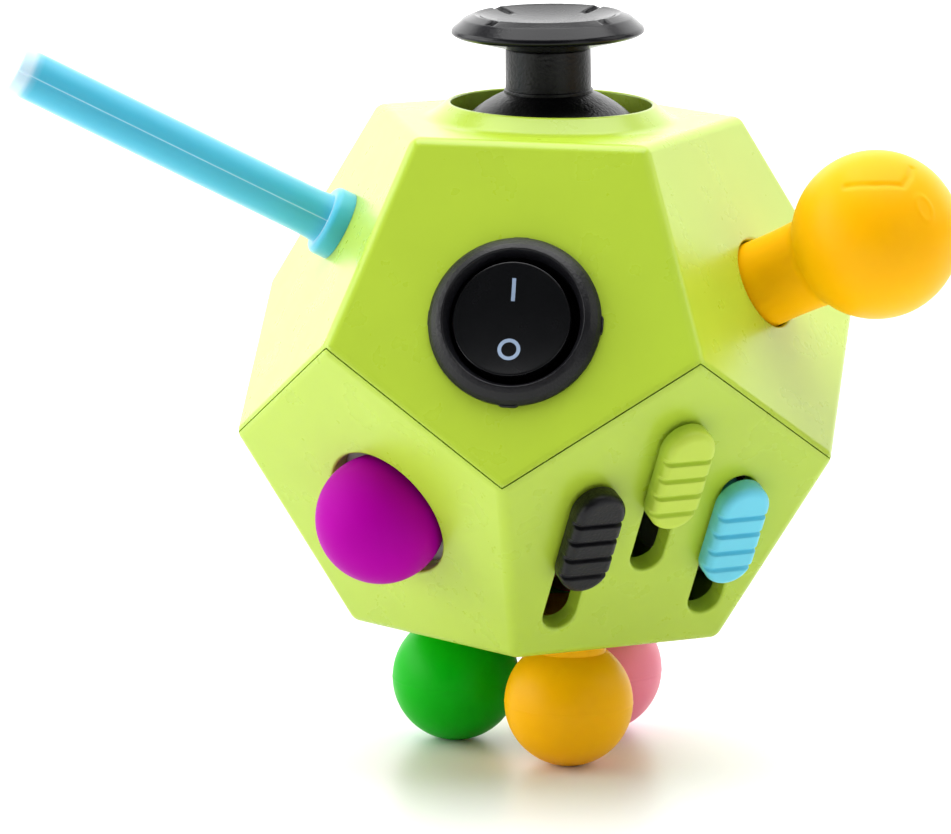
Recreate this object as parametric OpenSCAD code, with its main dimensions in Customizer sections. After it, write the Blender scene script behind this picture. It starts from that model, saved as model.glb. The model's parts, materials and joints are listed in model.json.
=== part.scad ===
// A twelve-sided fidget toy: a regular dodecahedron shell in two halves, with one play feature on each
// face, standing on three silicone balls. Origin: on the plane it stands on, under the body's five-fold
// axis. +Z up; the rocker switch faces -Y.

/* [Body] */
// Edge length of the twelve-sided body
edge = 22; // [21.8:0.1:22.4]
// Radius that rounds every edge and corner
edge_round = 1.4; // [1.2:0.1:1.6]
// Thickness of the moulded wall
wall = 2; // [1.9:0.05:2.05]
// Width of the joint line between the two shells
seam = 0.16; // [0.1:0.02:0.2]

/* [Joystick] */
// Radius of the hole that the joystick's dome sits in
stick_hole_r = 9.7; // [9.6:0.05:9.8]
// Height of the raised collar around that hole
collar_h = 1.55; // [1.4:0.05:1.7]
// Radius of the collar where it meets the top face
collar_r = 11.9; // [11.8:0.1:12.1]
// Radius of the dome
dome_r = 11.4; // [11.3:0.05:11.45]
// Depth of the tilt centre below the top face
pivot_depth = 8; // [7.9:0.05:8.1]
// Radius of the shaft
shaft_r = 4.125; // [4:0.05:4.3]
// Radius of the thumb cap
cap_r = 9.3; // [9:0.1:9.5]

/* [Rocker switch] */
// Outer radius of the bezel
bezel_r = 8.15; // [8:0.05:8.3]
// Radius of the rocker disc
rocker_r = 5.55; // [5.4:0.05:5.6]

/* [Sliders] */
// Width of a slot
slot_w = 3.5; // [3.4:0.05:3.6]
// Length of a slot over its round ends
slot_l = 16.4; // [16.2:0.1:16.5]
// Width of a knob
knob_w = 5.1; // [5:0.05:5.2]
// Length of a knob
knob_l = 11.3; // [11.2:0.05:11.4]
// Height of a knob above the face
knob_h = 2.45; // [2.3:0.05:2.6]

/* [Silicone parts] */
// Radius of the purple press ball
press_ball_r = 6.2; // [6.1:0.05:6.25]
// Radius of the yellow punch bulb
bulb_r = 8; // [7.8:0.1:8.2]
// Distance of the punch bulb's centre from its face
bulb_out = 12.6; // [12.4:0.1:12.8]
// Radius of the blue tube
tube_r = 2.35; // [2.3:0.05:2.35]
// Distance of the blue tube's tip from its face
tube_l = 35; // [30:1:36]
// Radius of a foot ball
foot_r = 6.2; // [6:0.1:6.3]
// Distance of the foot balls' centres below the bottom face
foot_drop = 6.5; // [6.4:0.1:6.7]
// Distance of the foot balls' centres from the body's axis
foot_spread = 8.5; // [8.4:0.1:8.8]

/* [Hidden] */

$fn = 64;
hull_fn = 32;     // fineness of the balls that round the body
fit = 0.05;       // radial gap of a running fit
gap = 0.2;        // gap between pieces that slide past each other
past = 1;         // how far a cutter runs past what it cuts
bite = 0.1;       // how far two solids of one piece run into each other

// Regular dodecahedron: one vertex ring at the top, two around the middle, one at the bottom
phi = (1 + sqrt(5)) / 2;
inradius = edge / 2 * sqrt(2.5 + 1.1 * sqrt(5));
ring_top_r = edge / (2 * sin(36));
ring_mid_r = phi * ring_top_r;
ring_mid_z = inradius / pow(phi, 3);
tilt = atan(0.5); // how far the side faces lean up or down
az_upper = -90;   // azimuth of the rocker's face; the other upper faces follow every 72 degrees
az_lower = -54;   // azimuth of the sliders' face; the other lower faces follow every 72 degrees
az_edge = -54;    // azimuth of an upright edge of the upper half

foot_flat = 0.12; // how much the contact patch of a foot ball is flattened
foot_az = [-64, 176, 56];
body_z = inradius + foot_drop + foot_r - foot_flat;

// Places on the faces, as [across, up] in each face's own plane
switch_at = [0, -2.5];
rocker_shift = -0.25;
slot_at = [[-7.5, -3.6], [0.3, 2.6], [8.2, -3.5]];
knob_up = [-0.1, 6.5, -0.87];
press_at = [0.2, -0.2];
bulb_at = [1.4, -0.7];
tube_at = [-0.3, 3.6];

// Joystick, with heights from the top face
pivot_z = -pivot_depth;
stick_lean = 1.6;  // how far the stick rests from upright, towards -X
dome_wall = 1.2;
dome_gap = 0.35;
dome_skirt_z = pivot_z + 1.9;
cap_root_z = 6.8;
spigot_r = 2.55;
spigot_h = 1.6;
pin_r = 0.8;
hub_r = 2.6;
tail_r = 1.2;
tail_z = pivot_z - 5;
spring_seat_r = 3;
spring_seat_z = pivot_z - 3.2;
spring_seat_h = 0.7;
ring_out_r = 5.5;
ring_in_r = 4;
ring_h = 2.4;
base_out_r = 8.4;
base_in_r = 7;
base_floor_z = pivot_z - 7;
base_floor_h = 1.2;
base_top_z = pivot_z + 1.5;
arm_w = 3.6;

// Screws that hold the joystick's base, and pegs that line up the two shells
boss_at_r = 14;
boss_r = 2;
screw_r = 0.85;
screw_hole_r = 1.1;
screw_l = 5.5;
peg_at_r = 26;
peg_r = 1;
peg_z0 = 1.2;      // height of a peg's root above the body's middle
peg_rise = 2.2;    // how far a peg reaches above the joint line's peaks
peg_boss_r = 2.2;
peg_boss_rise = 4;

bulb_neck_r = 4.3;
bulb_pivot_z = 0.6;
bulb_joint_r = 4.5;
bulb_wall = 1.6;
bulb_air_r = 1.5;
flange_h = 1.2;    // thickness of the flanges that hold pieces behind the wall
tube_collar_r = 3.4;
tube_collar_h = 1.9;
tube_pivot_z = 2.4;

gear_teeth = 12;
gear_module = 0.75;
gear_pitch_r = gear_teeth * gear_module / 2;
gear_apart = 2 * gear_pitch_r;

button_ring_r = 5.9;
button_r = 3.2;
button_az = [90, 210, 330];

function on_ring(r, z, start) = [for (k = [0:4]) [r * cos(start + 72 * k), r * sin(start + 72 * k), z]];
vertices = concat(
    on_ring(ring_top_r, inradius, az_edge),
    on_ring(ring_mid_r, ring_mid_z, az_edge),
    on_ring(ring_mid_r, -ring_mid_z, az_upper),
    on_ring(ring_top_r, -inradius, az_upper)
);
function before(k) = (k + 4) % 5;
function after(k) = (k + 1) % 5;
faces = concat(
    [[4, 3, 2, 1, 0], [15, 16, 17, 18, 19]],
    [for (k = [0:4]) [before(k), k, 5 + k, 10 + k, 5 + before(k)]],
    [for (k = [0:4]) [5 + k, 10 + after(k), 15 + after(k), 15 + k, 10 + k]]
);

// Puts its children on a face: x across, y up the face, z outward, origin at the face's middle
module on_face(az, lean) {
    translate([0, 0, body_z])
        rotate([0, 0, az])
            rotate([0, 90 - lean, 0])
                rotate([0, 0, 90])
                    translate([0, 0, inradius])
                        children();
}

module on_top() {
    translate([0, 0, body_z + inradius]) children();
}

// The joystick's moving parts, leaning about their tilt centre
module on_stick() {
    on_top() translate([0, 0, pivot_z])
        rotate([0, -stick_lean, 0])
            translate([0, 0, -pivot_z]) children();
}

module on_switch_face() {
    on_face(az_upper, tilt) translate([switch_at[0], switch_at[1], 0]) children();
}

module on_slider_face(k) {
    on_face(az_lower, -tilt) translate([slot_at[k][0], slot_at[k][1], 0]) children();
}

module on_press_face() {
    on_face(az_lower - 72, -tilt) translate([press_at[0], press_at[1], 0]) children();
}

module on_bulb_face() {
    on_face(az_upper + 72, tilt) translate([bulb_at[0], bulb_at[1], 0]) children();
}

module on_tube_face() {
    on_face(az_upper - 72, tilt) translate([tube_at[0], tube_at[1], 0]) children();
}

module on_dial_face() {
    on_face(az_upper + 144, tilt) children();
}

module on_gear_face() {
    on_face(az_upper + 216, tilt) children();
}

module on_button_face() {
    on_face(az_lower + 72, -tilt) children();
}

module on_spinner_face() {
    on_face(az_lower + 144, -tilt) children();
}

module on_worry_face() {
    on_face(az_lower + 216, -tilt) children();
}

module at_foot(k) {
    translate([foot_spread * cos(foot_az[k]), foot_spread * sin(foot_az[k]), foot_r - foot_flat])
        children();
}

// A disc along z between two heights
module disc(r, z0, z1) {
    translate([0, 0, z0]) cylinder(r = r, h = z1 - z0);
}

// A pin along x or y, centred on the origin
module pin_x(r, l) {
    rotate([0, 90, 0]) cylinder(r = r, h = l, center = true);
}

module pin_y(r, l) {
    rotate([90, 0, 0]) cylinder(r = r, h = l, center = true);
}

// An upright slab with half-round ends, long along y
module stadium(w, l, z0, z1) {
    translate([0, 0, z0]) {
        translate([-w / 2, -(l - w) / 2, 0]) cube([w, l - w, z1 - z0]);
        for (s = [-1, 1]) translate([0, s * (l - w) / 2, 0]) cylinder(d = w, h = z1 - z0);
    }
}

// Helical spring between two heights, as one swept tube
spring_sides = 6;
spring_steps = 12;

function helix_point(r, wire, z, turn, side) = [
    (r + wire * cos(360 * side / spring_sides)) * cos(360 * turn),
    (r + wire * cos(360 * side / spring_sides)) * sin(360 * turn),
    z + wire * sin(360 * side / spring_sides)
];

module spring(r, wire, z0, z1, turns) {
    rings = spring_steps * turns;
    rise = (z1 - z0 - 2 * wire) / rings;
    last = rings * spring_sides;
    points = [
        for (i = [0:rings], s = [0:spring_sides - 1])
            helix_point(r, wire, z0 + wire + rise * i, i / spring_steps, s)
    ];
    walls = [
        for (i = [0:rings - 1], s = [0:spring_sides - 1])
            let (a = i * spring_sides, n = (s + 1) % spring_sides)
                [a + s, a + spring_sides + s, a + spring_sides + n, a + n]
    ];
    ends = [
        [for (s = [0:spring_sides - 1]) s],
        [for (s = [spring_sides - 1:-1:0]) last + s]
    ];
    polyhedron(points = points, faces = concat(walls, ends), convexity = 10);
}

// Shells
module rounded_body() {
    inset = (inradius - edge_round) / inradius;
    translate([0, 0, body_z])
        hull()
            for (v = vertices) translate(v * inset) sphere(r = edge_round, $fn = hull_fn);
}

module cavity() {
    translate([0, 0, body_z])
        scale((inradius - wall) / inradius)
            polyhedron(points = vertices, faces = faces);
}

// Everything above (side 1) or below (side -1) the zig-zag joint line
module half_space(side) {
    reach = 1.6;
    far = 150;
    zigzag = [for (k = [0:4]) each [vertices[10 + k] * reach, vertices[5 + k] * reach]];
    points = concat([[0, 0, 0]], zigzag, [[0, 0, side * far]]);
    up = [for (i = [0:9]) each [[0, i + 1, (i + 1) % 10 + 1], [11, (i + 1) % 10 + 1, i + 1]]];
    down = [for (f = up) [f[2], f[1], f[0]]];
    translate([0, 0, body_z + side * seam / 2])
        polyhedron(points = points, faces = side > 0 ? up : down);
}

module at_peg() {
    translate([peg_at_r, 0, body_z]) rotate([0, 0, 90]) children();
}

// What stays solid inside the upper shell: sockets for the pegs and bosses for the screws
module socket_bosses() {
    for (k = [0:4])
        rotate([0, 0, az_edge + 72 * k]) {
            at_peg() disc(peg_boss_r, 0, ring_mid_z + peg_boss_rise);
            on_top() translate([boss_at_r, 0, 0]) disc(boss_r, base_floor_z + base_floor_h, past);
        }
}

module collar() {
    foot = 0.5;
    slope = (collar_r - stick_hole_r) / collar_h;
    on_top() translate([0, 0, -foot])
        cylinder(r1 = collar_r + foot * slope, r2 = stick_hole_r, h = collar_h + foot);
}

module upper_shell() {
    color("yellowgreen")
        difference() {
            union() {
                intersection() {
                    rounded_body();
                    half_space(1);
                }
                collar();
            }
            difference() {
                cavity();
                socket_bosses();
            }
            on_top() {
                disc(stick_hole_r - 0.05, -wall - past, collar_h + past);
                translate([0, 0, pivot_z]) sphere(r = dome_r + dome_gap);
            }
            for (k = [0:4])
                rotate([0, 0, az_edge + 72 * k]) {
                    on_top() translate([boss_at_r, 0, 0])
                        disc(screw_r, base_floor_z, base_floor_z + screw_l + gap);
                    at_peg() disc(peg_r + fit, -past, ring_mid_z + peg_rise + gap);
                }
            on_switch_face() disc(can_r + 0.1, -wall - past, past);
            on_bulb_face() disc(bulb_neck_r + 0.1, -wall - past, past);
            on_tube_face() disc(tube_waist_r + fit, -wall - past, past);
            on_dial_face() disc(dial_hole_r, -wall - past, past);
            on_gear_face() gear_window(0, -wall - past, past);
        }
}

module lower_shell() {
    color("yellowgreen")
        difference() {
            union() {
                difference() {
                    intersection() {
                        rounded_body();
                        half_space(-1);
                    }
                    cavity();
                }
                for (k = [0:4])
                    rotate([0, 0, az_edge + 72 * k])
                        at_peg() disc(peg_r, peg_z0, ring_mid_z + peg_rise);
            }
            on_press_face() disc(press_hole_r, -wall - past, past);
            for (k = [0:2]) on_slider_face(k) stadium(slot_w, slot_l, -wall - past, past);
            for (k = [0:2]) at_button(k) disc(button_r + button_gap, -wall - past, past);
            on_spinner_face() disc(spinner_hole_r, -wall - past, past);
            on_worry_face() disc(pad_r + 0.1, -pad_depth, past);
            for (k = [0:2]) at_foot(k) disc(foot_neck_r + fit, 0, 2 * foot_r);
        }
}

// Joystick
module joystick_cap() {
    rim_r = 7.1;
    rim_z = 10.15;
    crown_h = 0.4;
    bevel_r = rim_r + 1;
    wide_z = 8.4;
    dish_r = 24;
    dish_depth = 1;
    notch_az = -37;
    notch_w = 0.9;
    notch_depth = 0.6;
    notch_from = rim_r - 1.6;
    color("#2b2c30")
        on_stick()
            difference() {
                union() {
                    translate([0, 0, cap_root_z])
                        cylinder(r1 = shaft_r + 0.3, r2 = cap_r, h = wide_z - cap_root_z);
                    translate([0, 0, wide_z])
                        cylinder(r1 = cap_r, r2 = bevel_r, h = rim_z - crown_h - wide_z);
                    translate([0, 0, rim_z - crown_h]) cylinder(r1 = bevel_r, r2 = rim_r, h = crown_h);
                }
                translate([0, 0, rim_z - dish_depth + dish_r]) sphere(r = dish_r, $fn = 128);
                for (k = [0:3])
                    rotate([0, 0, notch_az + 90 * k])
                        translate([notch_from, -notch_w / 2, rim_z - notch_depth])
                            cube([cap_r, notch_w, 2]);
                disc(spigot_r + fit, cap_root_z - past, cap_root_z + spigot_h);
            }
}

module joystick_stem() {
    collar_z = 2;
    core_r = 2.2;
    color("#2b2c30")
        on_stick() {
            difference() {
                translate([0, 0, pivot_z]) sphere(r = dome_r);
                translate([0, 0, pivot_z]) sphere(r = dome_r - dome_wall);
                disc(dome_r + past, pivot_z - dome_r - past, dome_skirt_z);
            }
            disc(shaft_r, collar_z, cap_root_z);
            disc(spigot_r, cap_root_z, cap_root_z + spigot_h);
            disc(core_r, pivot_z, collar_z + past);
            translate([0, 0, pivot_z]) {
                sphere(r = hub_r);
                pin_y(pin_r, 2 * (ring_out_r - gap));
            }
            disc(tail_r, tail_z, pivot_z);
            disc(spring_seat_r, spring_seat_z, spring_seat_z + spring_seat_h);
        }
}

module joystick_gimbal() {
    pin_out = base_out_r - gap;
    color("gainsboro")
        on_top() translate([0, 0, pivot_z]) {
            difference() {
                cylinder(r = ring_out_r, h = ring_h, center = true);
                cylinder(r = ring_in_r, h = ring_h + past, center = true);
                pin_y(pin_r + fit, 3 * ring_out_r);
            }
            for (s = [-1, 1])
                translate([s * (ring_in_r + gap + pin_out) / 2, 0, 0])
                    pin_x(pin_r, pin_out - ring_in_r - gap);
        }
}

module joystick_base() {
    color("gainsboro")
        on_top()
            difference() {
                union() {
                    disc(base_out_r, base_floor_z, base_top_z);
                    for (k = [0:4])
                        rotate([0, 0, az_edge + 72 * k]) {
                            translate([0, -arm_w / 2, base_floor_z]) cube([boss_at_r, arm_w, base_floor_h]);
                            translate([boss_at_r, 0, 0])
                                disc(boss_r + gap, base_floor_z, base_floor_z + base_floor_h);
                        }
                }
                disc(base_in_r, base_floor_z + base_floor_h, 0);
                translate([0, 0, pivot_z]) pin_x(pin_r + fit, 3 * base_out_r);
                for (k = [0:4])
                    rotate([0, 0, az_edge + 72 * k])
                        translate([boss_at_r, 0, 0]) disc(screw_hole_r, base_floor_z - past, pivot_z);
            }
}

module joystick_spring() {
    color("silver")
        on_top() spring(2.4, 0.3, base_floor_z + base_floor_h, spring_seat_z - gap, 3);
}

module joystick_screws() {
    head_r = 1.7;
    head_h = 1.2;
    recess = [2.2, 0.4, 0.5];
    color("silver")
        for (k = [0:4])
            rotate([0, 0, az_edge + 72 * k])
                on_top() translate([boss_at_r, 0, base_floor_z])
                    difference() {
                        union() {
                            disc(screw_r, -bite, screw_l);
                            disc(head_r, -head_h, 0);
                        }
                        for (a = [0, 90])
                            rotate([0, 0, a])
                                translate([-recess[0] / 2, -recess[1] / 2, -head_h - past])
                                    cube([recess[0], recess[1], recess[2] + past]);
                    }
}

// Rocker switch
can_r = 7.4;
can_in_r = 6.15;
can_floor_z = -7.5;
can_floor_h = 1;
rocker_axis_z = -1.5;
rocker_floor_z = -2.5;
trunnion_r = 0.9;
trunnion_l = 2 * (can_in_r + 0.55);
post_r = 2;
post_z = -4;
bore_r = 1.3;
bore_top_z = -0.8;
plunger_top_z = -3;

module switch_bezel() {
    crest_r = 6.7;
    crest_z = 1.65;
    outer_wall_h = 0.35;
    nub = [0.7, 1.9, 0.35];
    nub_proud = 0.18;
    color("#2b2c30")
        on_switch_face()
            difference() {
                union() {
                    rotate_extrude()
                        polygon([
                            [can_in_r, can_floor_z - can_floor_h], [can_r, can_floor_z - can_floor_h],
                            [can_r, 0], [bezel_r, 0], [bezel_r, outer_wall_h],
                            [bezel_r - 0.35, 0.85], [bezel_r - 0.9, 1.35],
                            [crest_r, crest_z], [can_in_r, 0.4]
                        ]);
                    disc(can_r, can_floor_z - can_floor_h, can_floor_z);
                    for (a = [0:90:270])
                        rotate([0, 0, a])
                            translate([bezel_r + nub_proud - nub[0], -nub[1] / 2, 0]) cube(nub);
                }
                translate([rocker_shift, 0, rocker_axis_z]) pin_x(trunnion_r + fit, trunnion_l + 2 * gap);
            }
}

module switch_rocker() {
    saddle_r = 30;
    saddle_z = 0.7;
    swing_r = 5.75;
    chamfer = 0.2;
    side_z = 1;
    color("#1c1d20")
        on_switch_face() translate([rocker_shift, 0, 0])
            difference() {
                union() {
                    difference() {
                        intersection() {
                            union() {
                                disc(rocker_r, rocker_floor_z, side_z);
                                translate([0, 0, side_z])
                                    cylinder(r1 = rocker_r, r2 = rocker_r - chamfer, h = chamfer);
                            }
                            translate([0, 0, rocker_axis_z]) pin_x(swing_r, 3 * rocker_r);
                        }
                        translate([0, 0, saddle_z + saddle_r]) pin_x(saddle_r, 3 * rocker_r, $fn = 128);
                    }
                    disc(post_r, post_z, rocker_floor_z + bite);
                    translate([0, 0, rocker_axis_z]) pin_x(trunnion_r, trunnion_l);
                }
                disc(bore_r, post_z - past, bore_top_z);
            }
}

module switch_plunger() {
    tip_z = -5.9;
    color("gainsboro")
        on_switch_face() translate([rocker_shift, 0, 0]) {
            disc(bore_r - 2 * fit, tip_z, plunger_top_z);
            translate([0, 0, tip_z]) sphere(r = bore_r - 2 * fit);
        }
}

module switch_spring() {
    color("silver")
        on_switch_face() translate([rocker_shift, 0, 0])
            spring(0.8, 0.18, plunger_top_z, bore_top_z, 3);
}

// Sliders
knob_z = 0.4;
stem_w = slot_w - 0.3;
stem_l = 8;
retainer_w = 4.6;
retainer_l = 8.6;
retainer_h = 1;

module slider_knob(k, paint) {
    bevel = 0.4;
    grooves = 4;
    groove_top = 2.4;
    groove_pitch = 2;
    groove_w = 0.5;
    groove_depth = 0.4;
    color(paint)
        on_slider_face(k) translate([0, knob_up[k] - slot_at[k][1], 0])
            difference() {
                union() {
                    stadium(knob_w, knob_l, knob_z, knob_h - bevel);
                    stadium(knob_w - 2 * bevel, knob_l - 2 * bevel, knob_z, knob_h);
                    stadium(stem_w, stem_l, -wall - gap, knob_z + bite);
                }
                for (g = [0:grooves - 1])
                    translate([-knob_w, groove_top - groove_pitch * g - groove_w / 2, knob_h - groove_depth])
                        cube([2 * knob_w, groove_w, past]);
            }
}

module slider_retainer(k) {
    color("#2b2c30")
        on_slider_face(k) translate([0, knob_up[k] - slot_at[k][1], 0])
            stadium(retainer_w, retainer_l, -wall - gap - retainer_h, -wall - gap);
}

// Press ball
press_rest_z = 0.9;
press_hole_r = press_ball_r + 0.55;
press_flange_r = 7.5;
press_flange_z = -wall - 1.4;
press_flange_h = 1;
press_floor_z = -9.6;

module press_ball() {
    color("#b400aa")
        on_press_face() translate([0, 0, press_rest_z]) sphere(r = press_ball_r);
}

module press_plunger() {
    skirt_r = 5.9;
    skirt_z = -7;
    color("gainsboro")
        on_press_face()
            difference() {
                union() {
                    disc(press_flange_r, press_flange_z, press_flange_z + press_flange_h);
                    disc(skirt_r, skirt_z, press_flange_z + press_flange_h);
                }
                translate([0, 0, press_rest_z]) sphere(r = press_ball_r + fit / 2);
            }
}

module press_spring() {
    color("silver")
        on_press_face() spring(6.8, 0.3, press_floor_z, press_flange_z, 4);
}

module press_cup() {
    cup_in_r = press_flange_r + gap;
    cup_wall = 0.9;
    color("gainsboro")
        on_press_face()
            difference() {
                disc(cup_in_r + cup_wall, press_floor_z - cup_wall, -wall);
                disc(cup_in_r, press_floor_z, -wall + past);
            }
}

// Punch bulb
module punch_bulb() {
    neck_z = bulb_pivot_z + 1.45;
    color("#ffbe00")
        on_bulb_face()
            difference() {
                union() {
                    translate([0, 0, bulb_out]) sphere(r = bulb_r);
                    disc(bulb_neck_r, neck_z, bulb_out - bulb_r + 2);
                }
                translate([0, 0, bulb_pivot_z]) sphere(r = bulb_joint_r + fit);
                translate([0, 0, bulb_out]) sphere(r = bulb_r - bulb_wall);
                disc(bulb_air_r, bulb_pivot_z, bulb_out);
            }
}

module bulb_plug() {
    flange_r = 6;
    plug_top_z = bulb_pivot_z + 1.3;
    color("#ffbe00")
        on_bulb_face() {
            disc(flange_r, -wall - flange_h, -wall);
            disc(bulb_neck_r, -wall - bite, plug_top_z);
            intersection() {
                translate([0, 0, bulb_pivot_z]) sphere(r = bulb_joint_r);
                disc(bulb_neck_r, 0, 2 * bulb_joint_r);
            }
        }
}

// Tube
tube_waist_r = tube_collar_r - 0.55;

module pull_tube() {
    bore_r = 0.9;
    bore_from_z = tube_pivot_z + 3;
    tip_wall = 1;
    color("#55bbdd")
        on_tube_face()
            difference() {
                union() {
                    disc(tube_r, tube_pivot_z, tube_l);
                    translate([0, 0, tube_pivot_z]) sphere(r = tube_r);
                }
                disc(bore_r, bore_from_z, tube_l - tip_wall);
            }
}

module tube_grommet() {
    flange_r = 4.2;
    color("#55bbdd")
        on_tube_face()
            difference() {
                union() {
                    disc(tube_collar_r, 0, tube_collar_h);
                    disc(tube_waist_r, -wall - bite, bite);
                    disc(flange_r, -wall - flange_h, -wall);
                }
                translate([0, 0, tube_pivot_z]) sphere(r = tube_r + fit);
            }
}

// Foot balls
foot_neck_r = 3.5;

module foot_ball(k, paint) {
    flange_r = 5;
    top_z = foot_drop + wall;
    color(paint)
        at_foot(k)
            difference() {
                union() {
                    sphere(r = foot_r);
                    disc(foot_neck_r, 0, top_z + bite);
                    disc(flange_r, top_z, top_z + flange_h);
                }
                disc(foot_r, -2 * foot_r, foot_flat - foot_r);
            }
}

// Cups behind the round features: a tray with a flange against the wall and a hole for a rivet
tray_floor_z = -3.4;
tray_back_z = -4.2;
rivet_fit = 0.02;

module round_tray(r, flange_r, hole_r) {
    tray_wall = 0.3;
    difference() {
        union() {
            disc(r, tray_back_z, 0);
            disc(flange_r, -wall - flange_h, -wall);
        }
        disc(r - tray_wall, tray_floor_z, past);
        disc(hole_r, tray_back_z - past, 0);
    }
}

// A headed rivet: a tail through the tray's floor, a bearing and a head
module rivet(tail_r, bearing_r, head_r, floor_z, head_z, head_h) {
    disc(tail_r, tray_back_z, floor_z);
    disc(bearing_r, floor_z, head_z);
    disc(head_r, head_z, head_z + head_h);
}

// Finger dial
dial_hole_r = 9.5;
dial_bearing_r = 1.5;
dial_tail_r = 1;

module dial_cup() {
    color("#2b2c30") on_dial_face() round_tray(dial_hole_r - fit, 10.6, dial_tail_r);
}

module dial_disc() {
    dial_r = 8.9;
    dial_z = 1.2;
    ribs = 24;
    rib_r = 0.35;
    dimple_r = 6;
    dimple_at = [0, 4.9, 6.4];
    seat_r = 2.6;
    seat_z = 0.6;
    color("#3c8fd0")
        on_dial_face()
            difference() {
                disc(dial_r, tray_floor_z + gap, dial_z);
                for (k = [0:ribs - 1])
                    rotate([0, 0, 360 * k / ribs])
                        translate([dial_r, 0, 0]) disc(rib_r, -past, dial_z + past);
                translate(dimple_at) sphere(r = dimple_r);
                disc(dial_bearing_r + fit, tray_back_z, dial_z + past);
                disc(seat_r, seat_z, dial_z + past);
            }
}

module dial_rivet() {
    color("silver")
        on_dial_face() rivet(dial_tail_r - rivet_fit, dial_bearing_r, 2.4, tray_floor_z, 0.8, 0.5);
}

// Meshed gears
gear_floor_z = -3.2;
gear_bearing_r = 1.2;
gear_tail_r = 0.9;
tooth_lean = 5.2;   // how fast a tooth narrows, in degrees for each mm of radius
tooth_backlash = 1.1;
window_w = 12.2;

function tooth_half(r) = 360 / gear_teeth / 4 - tooth_backlash - (r - gear_pitch_r) * tooth_lean;

module gear_outline() {
    inner = gear_pitch_r - 1.15 * gear_module;
    outer = gear_pitch_r + 0.9 * gear_module;
    pitch = 360 / gear_teeth;
    up = [[inner, -1], [gear_pitch_r, -1], [outer, -1]];
    down = [[outer, 1], [gear_pitch_r, 1], [inner, 1]];
    polygon([
        for (t = [0:gear_teeth - 1], p = concat(up, down))
            let (a = t * pitch + p[1] * tooth_half(p[0])) [p[0] * cos(a), p[0] * sin(a)]
    ]);
}

module gear(x, turn, paint) {
    tooth_z = -2.4;
    tooth_h = 2.6;
    hub_r = 2.9;
    hub_z = 0.5;
    pit_r = 0.45;
    pit_at = 2.15;
    pit_depth = 0.3;
    color(paint)
        on_gear_face() translate([x, 0, 0])
            difference() {
                union() {
                    rotate([0, 0, turn])
                        translate([0, 0, tooth_z]) linear_extrude(height = tooth_h) gear_outline();
                    disc(hub_r, tooth_z - 0.5, hub_z);
                }
                disc(gear_bearing_r + fit, tray_back_z, hub_z + past);
                for (k = [0:3])
                    rotate([0, 0, 45 + 90 * k])
                        translate([pit_at, 0, 0]) disc(pit_r, hub_z - pit_depth, hub_z + past);
            }
}

module gear_window(extra, z0, z1) {
    rotate([0, 0, 90]) stadium(window_w + 2 * extra, window_w + gear_apart + 2 * extra, z0, z1);
}

module gear_cup() {
    tray_wall = 0.3;
    flange_w = 1;
    color("#2b2c30")
        on_gear_face()
            difference() {
                union() {
                    gear_window(-fit, tray_back_z, 0);
                    gear_window(flange_w, -wall - flange_h, -wall);
                }
                gear_window(-fit - tray_wall, gear_floor_z, past);
                for (s = [-1, 1])
                    translate([s * gear_apart / 2, 0, 0]) disc(gear_tail_r, tray_back_z - past, 0);
            }
}

module gear_pins() {
    color("silver")
        for (s = [-1, 1])
            on_gear_face() translate([s * gear_apart / 2, 0, 0])
                rivet(gear_tail_r - rivet_fit, gear_bearing_r, 2, gear_floor_z, 0.7, 0.4);
}

// Spinner
spinner_hole_r = 10;
spinner_bearing_r = 1.2;
spinner_tail_r = 0.9;

module spinner_cup() {
    color("#2b2c30") on_spinner_face() round_tray(spinner_hole_r - fit, 11, spinner_tail_r);
}

module spinner_rotor() {
    lobe_at = 5.9;
    lobe_r = 3.2;
    lobe_hole_r = 1.7;
    lobe_z = 0.2;
    arm = [lobe_at, 3, 2.6];
    hub_r = 3.6;
    hub_z = 0.6;
    color("#e04848")
        on_spinner_face()
            difference() {
                union() {
                    disc(hub_r, tray_floor_z + 2 * gap, hub_z);
                    for (a = [90, 210, 330])
                        rotate([0, 0, a]) {
                            translate([0, -arm[1] / 2, -arm[2]]) cube(arm);
                            translate([lobe_at, 0, 0]) disc(lobe_r, -arm[2], lobe_z);
                        }
                }
                for (a = [90, 210, 330])
                    rotate([0, 0, a]) translate([lobe_at, 0, 0]) disc(lobe_hole_r, tray_back_z, past);
                disc(spinner_bearing_r + fit, tray_back_z, hub_z + past);
            }
}

module spinner_pin() {
    color("silver")
        on_spinner_face()
            rivet(spinner_tail_r - rivet_fit, spinner_bearing_r, 2.2, tray_floor_z, 0.8, 0.5);
}

// Click buttons
button_gap = 0.15;
button_proud = 1.8;
button_flange_z = -wall - 1.1;
button_frame_z = -7.2;

module at_button(k) {
    on_button_face() rotate([0, 0, button_az[k]]) translate([button_ring_r, 0, 0]) children();
}

module button(k, paint) {
    crown_r = 9;
    flange_w = 0.8;
    flange_t = 1;
    tail_r = 1.2;
    tail_z = -5.2;
    color(paint)
        at_button(k)
            intersection() {
                union() {
                    disc(button_r, button_flange_z, button_proud);
                    disc(button_r + flange_w, button_flange_z, button_flange_z + flange_t);
                    disc(tail_r, tail_z, button_flange_z + bite);
                }
                translate([0, 0, button_proud - crown_r]) sphere(r = crown_r);
            }
}

module button_spring(k) {
    color("silver")
        at_button(k) spring(2.2, 0.25, button_frame_z, button_flange_z, 4);
}

module button_frame() {
    frame_in_r = 10.5;
    frame_wall = 0.7;
    color("gainsboro")
        on_button_face()
            difference() {
                disc(frame_in_r + frame_wall, button_frame_z - frame_wall, -wall);
                disc(frame_in_r, button_frame_z, -wall + past);
            }
}

// Worry pad
pad_r = 9.4;
pad_depth = 1.2;

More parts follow.
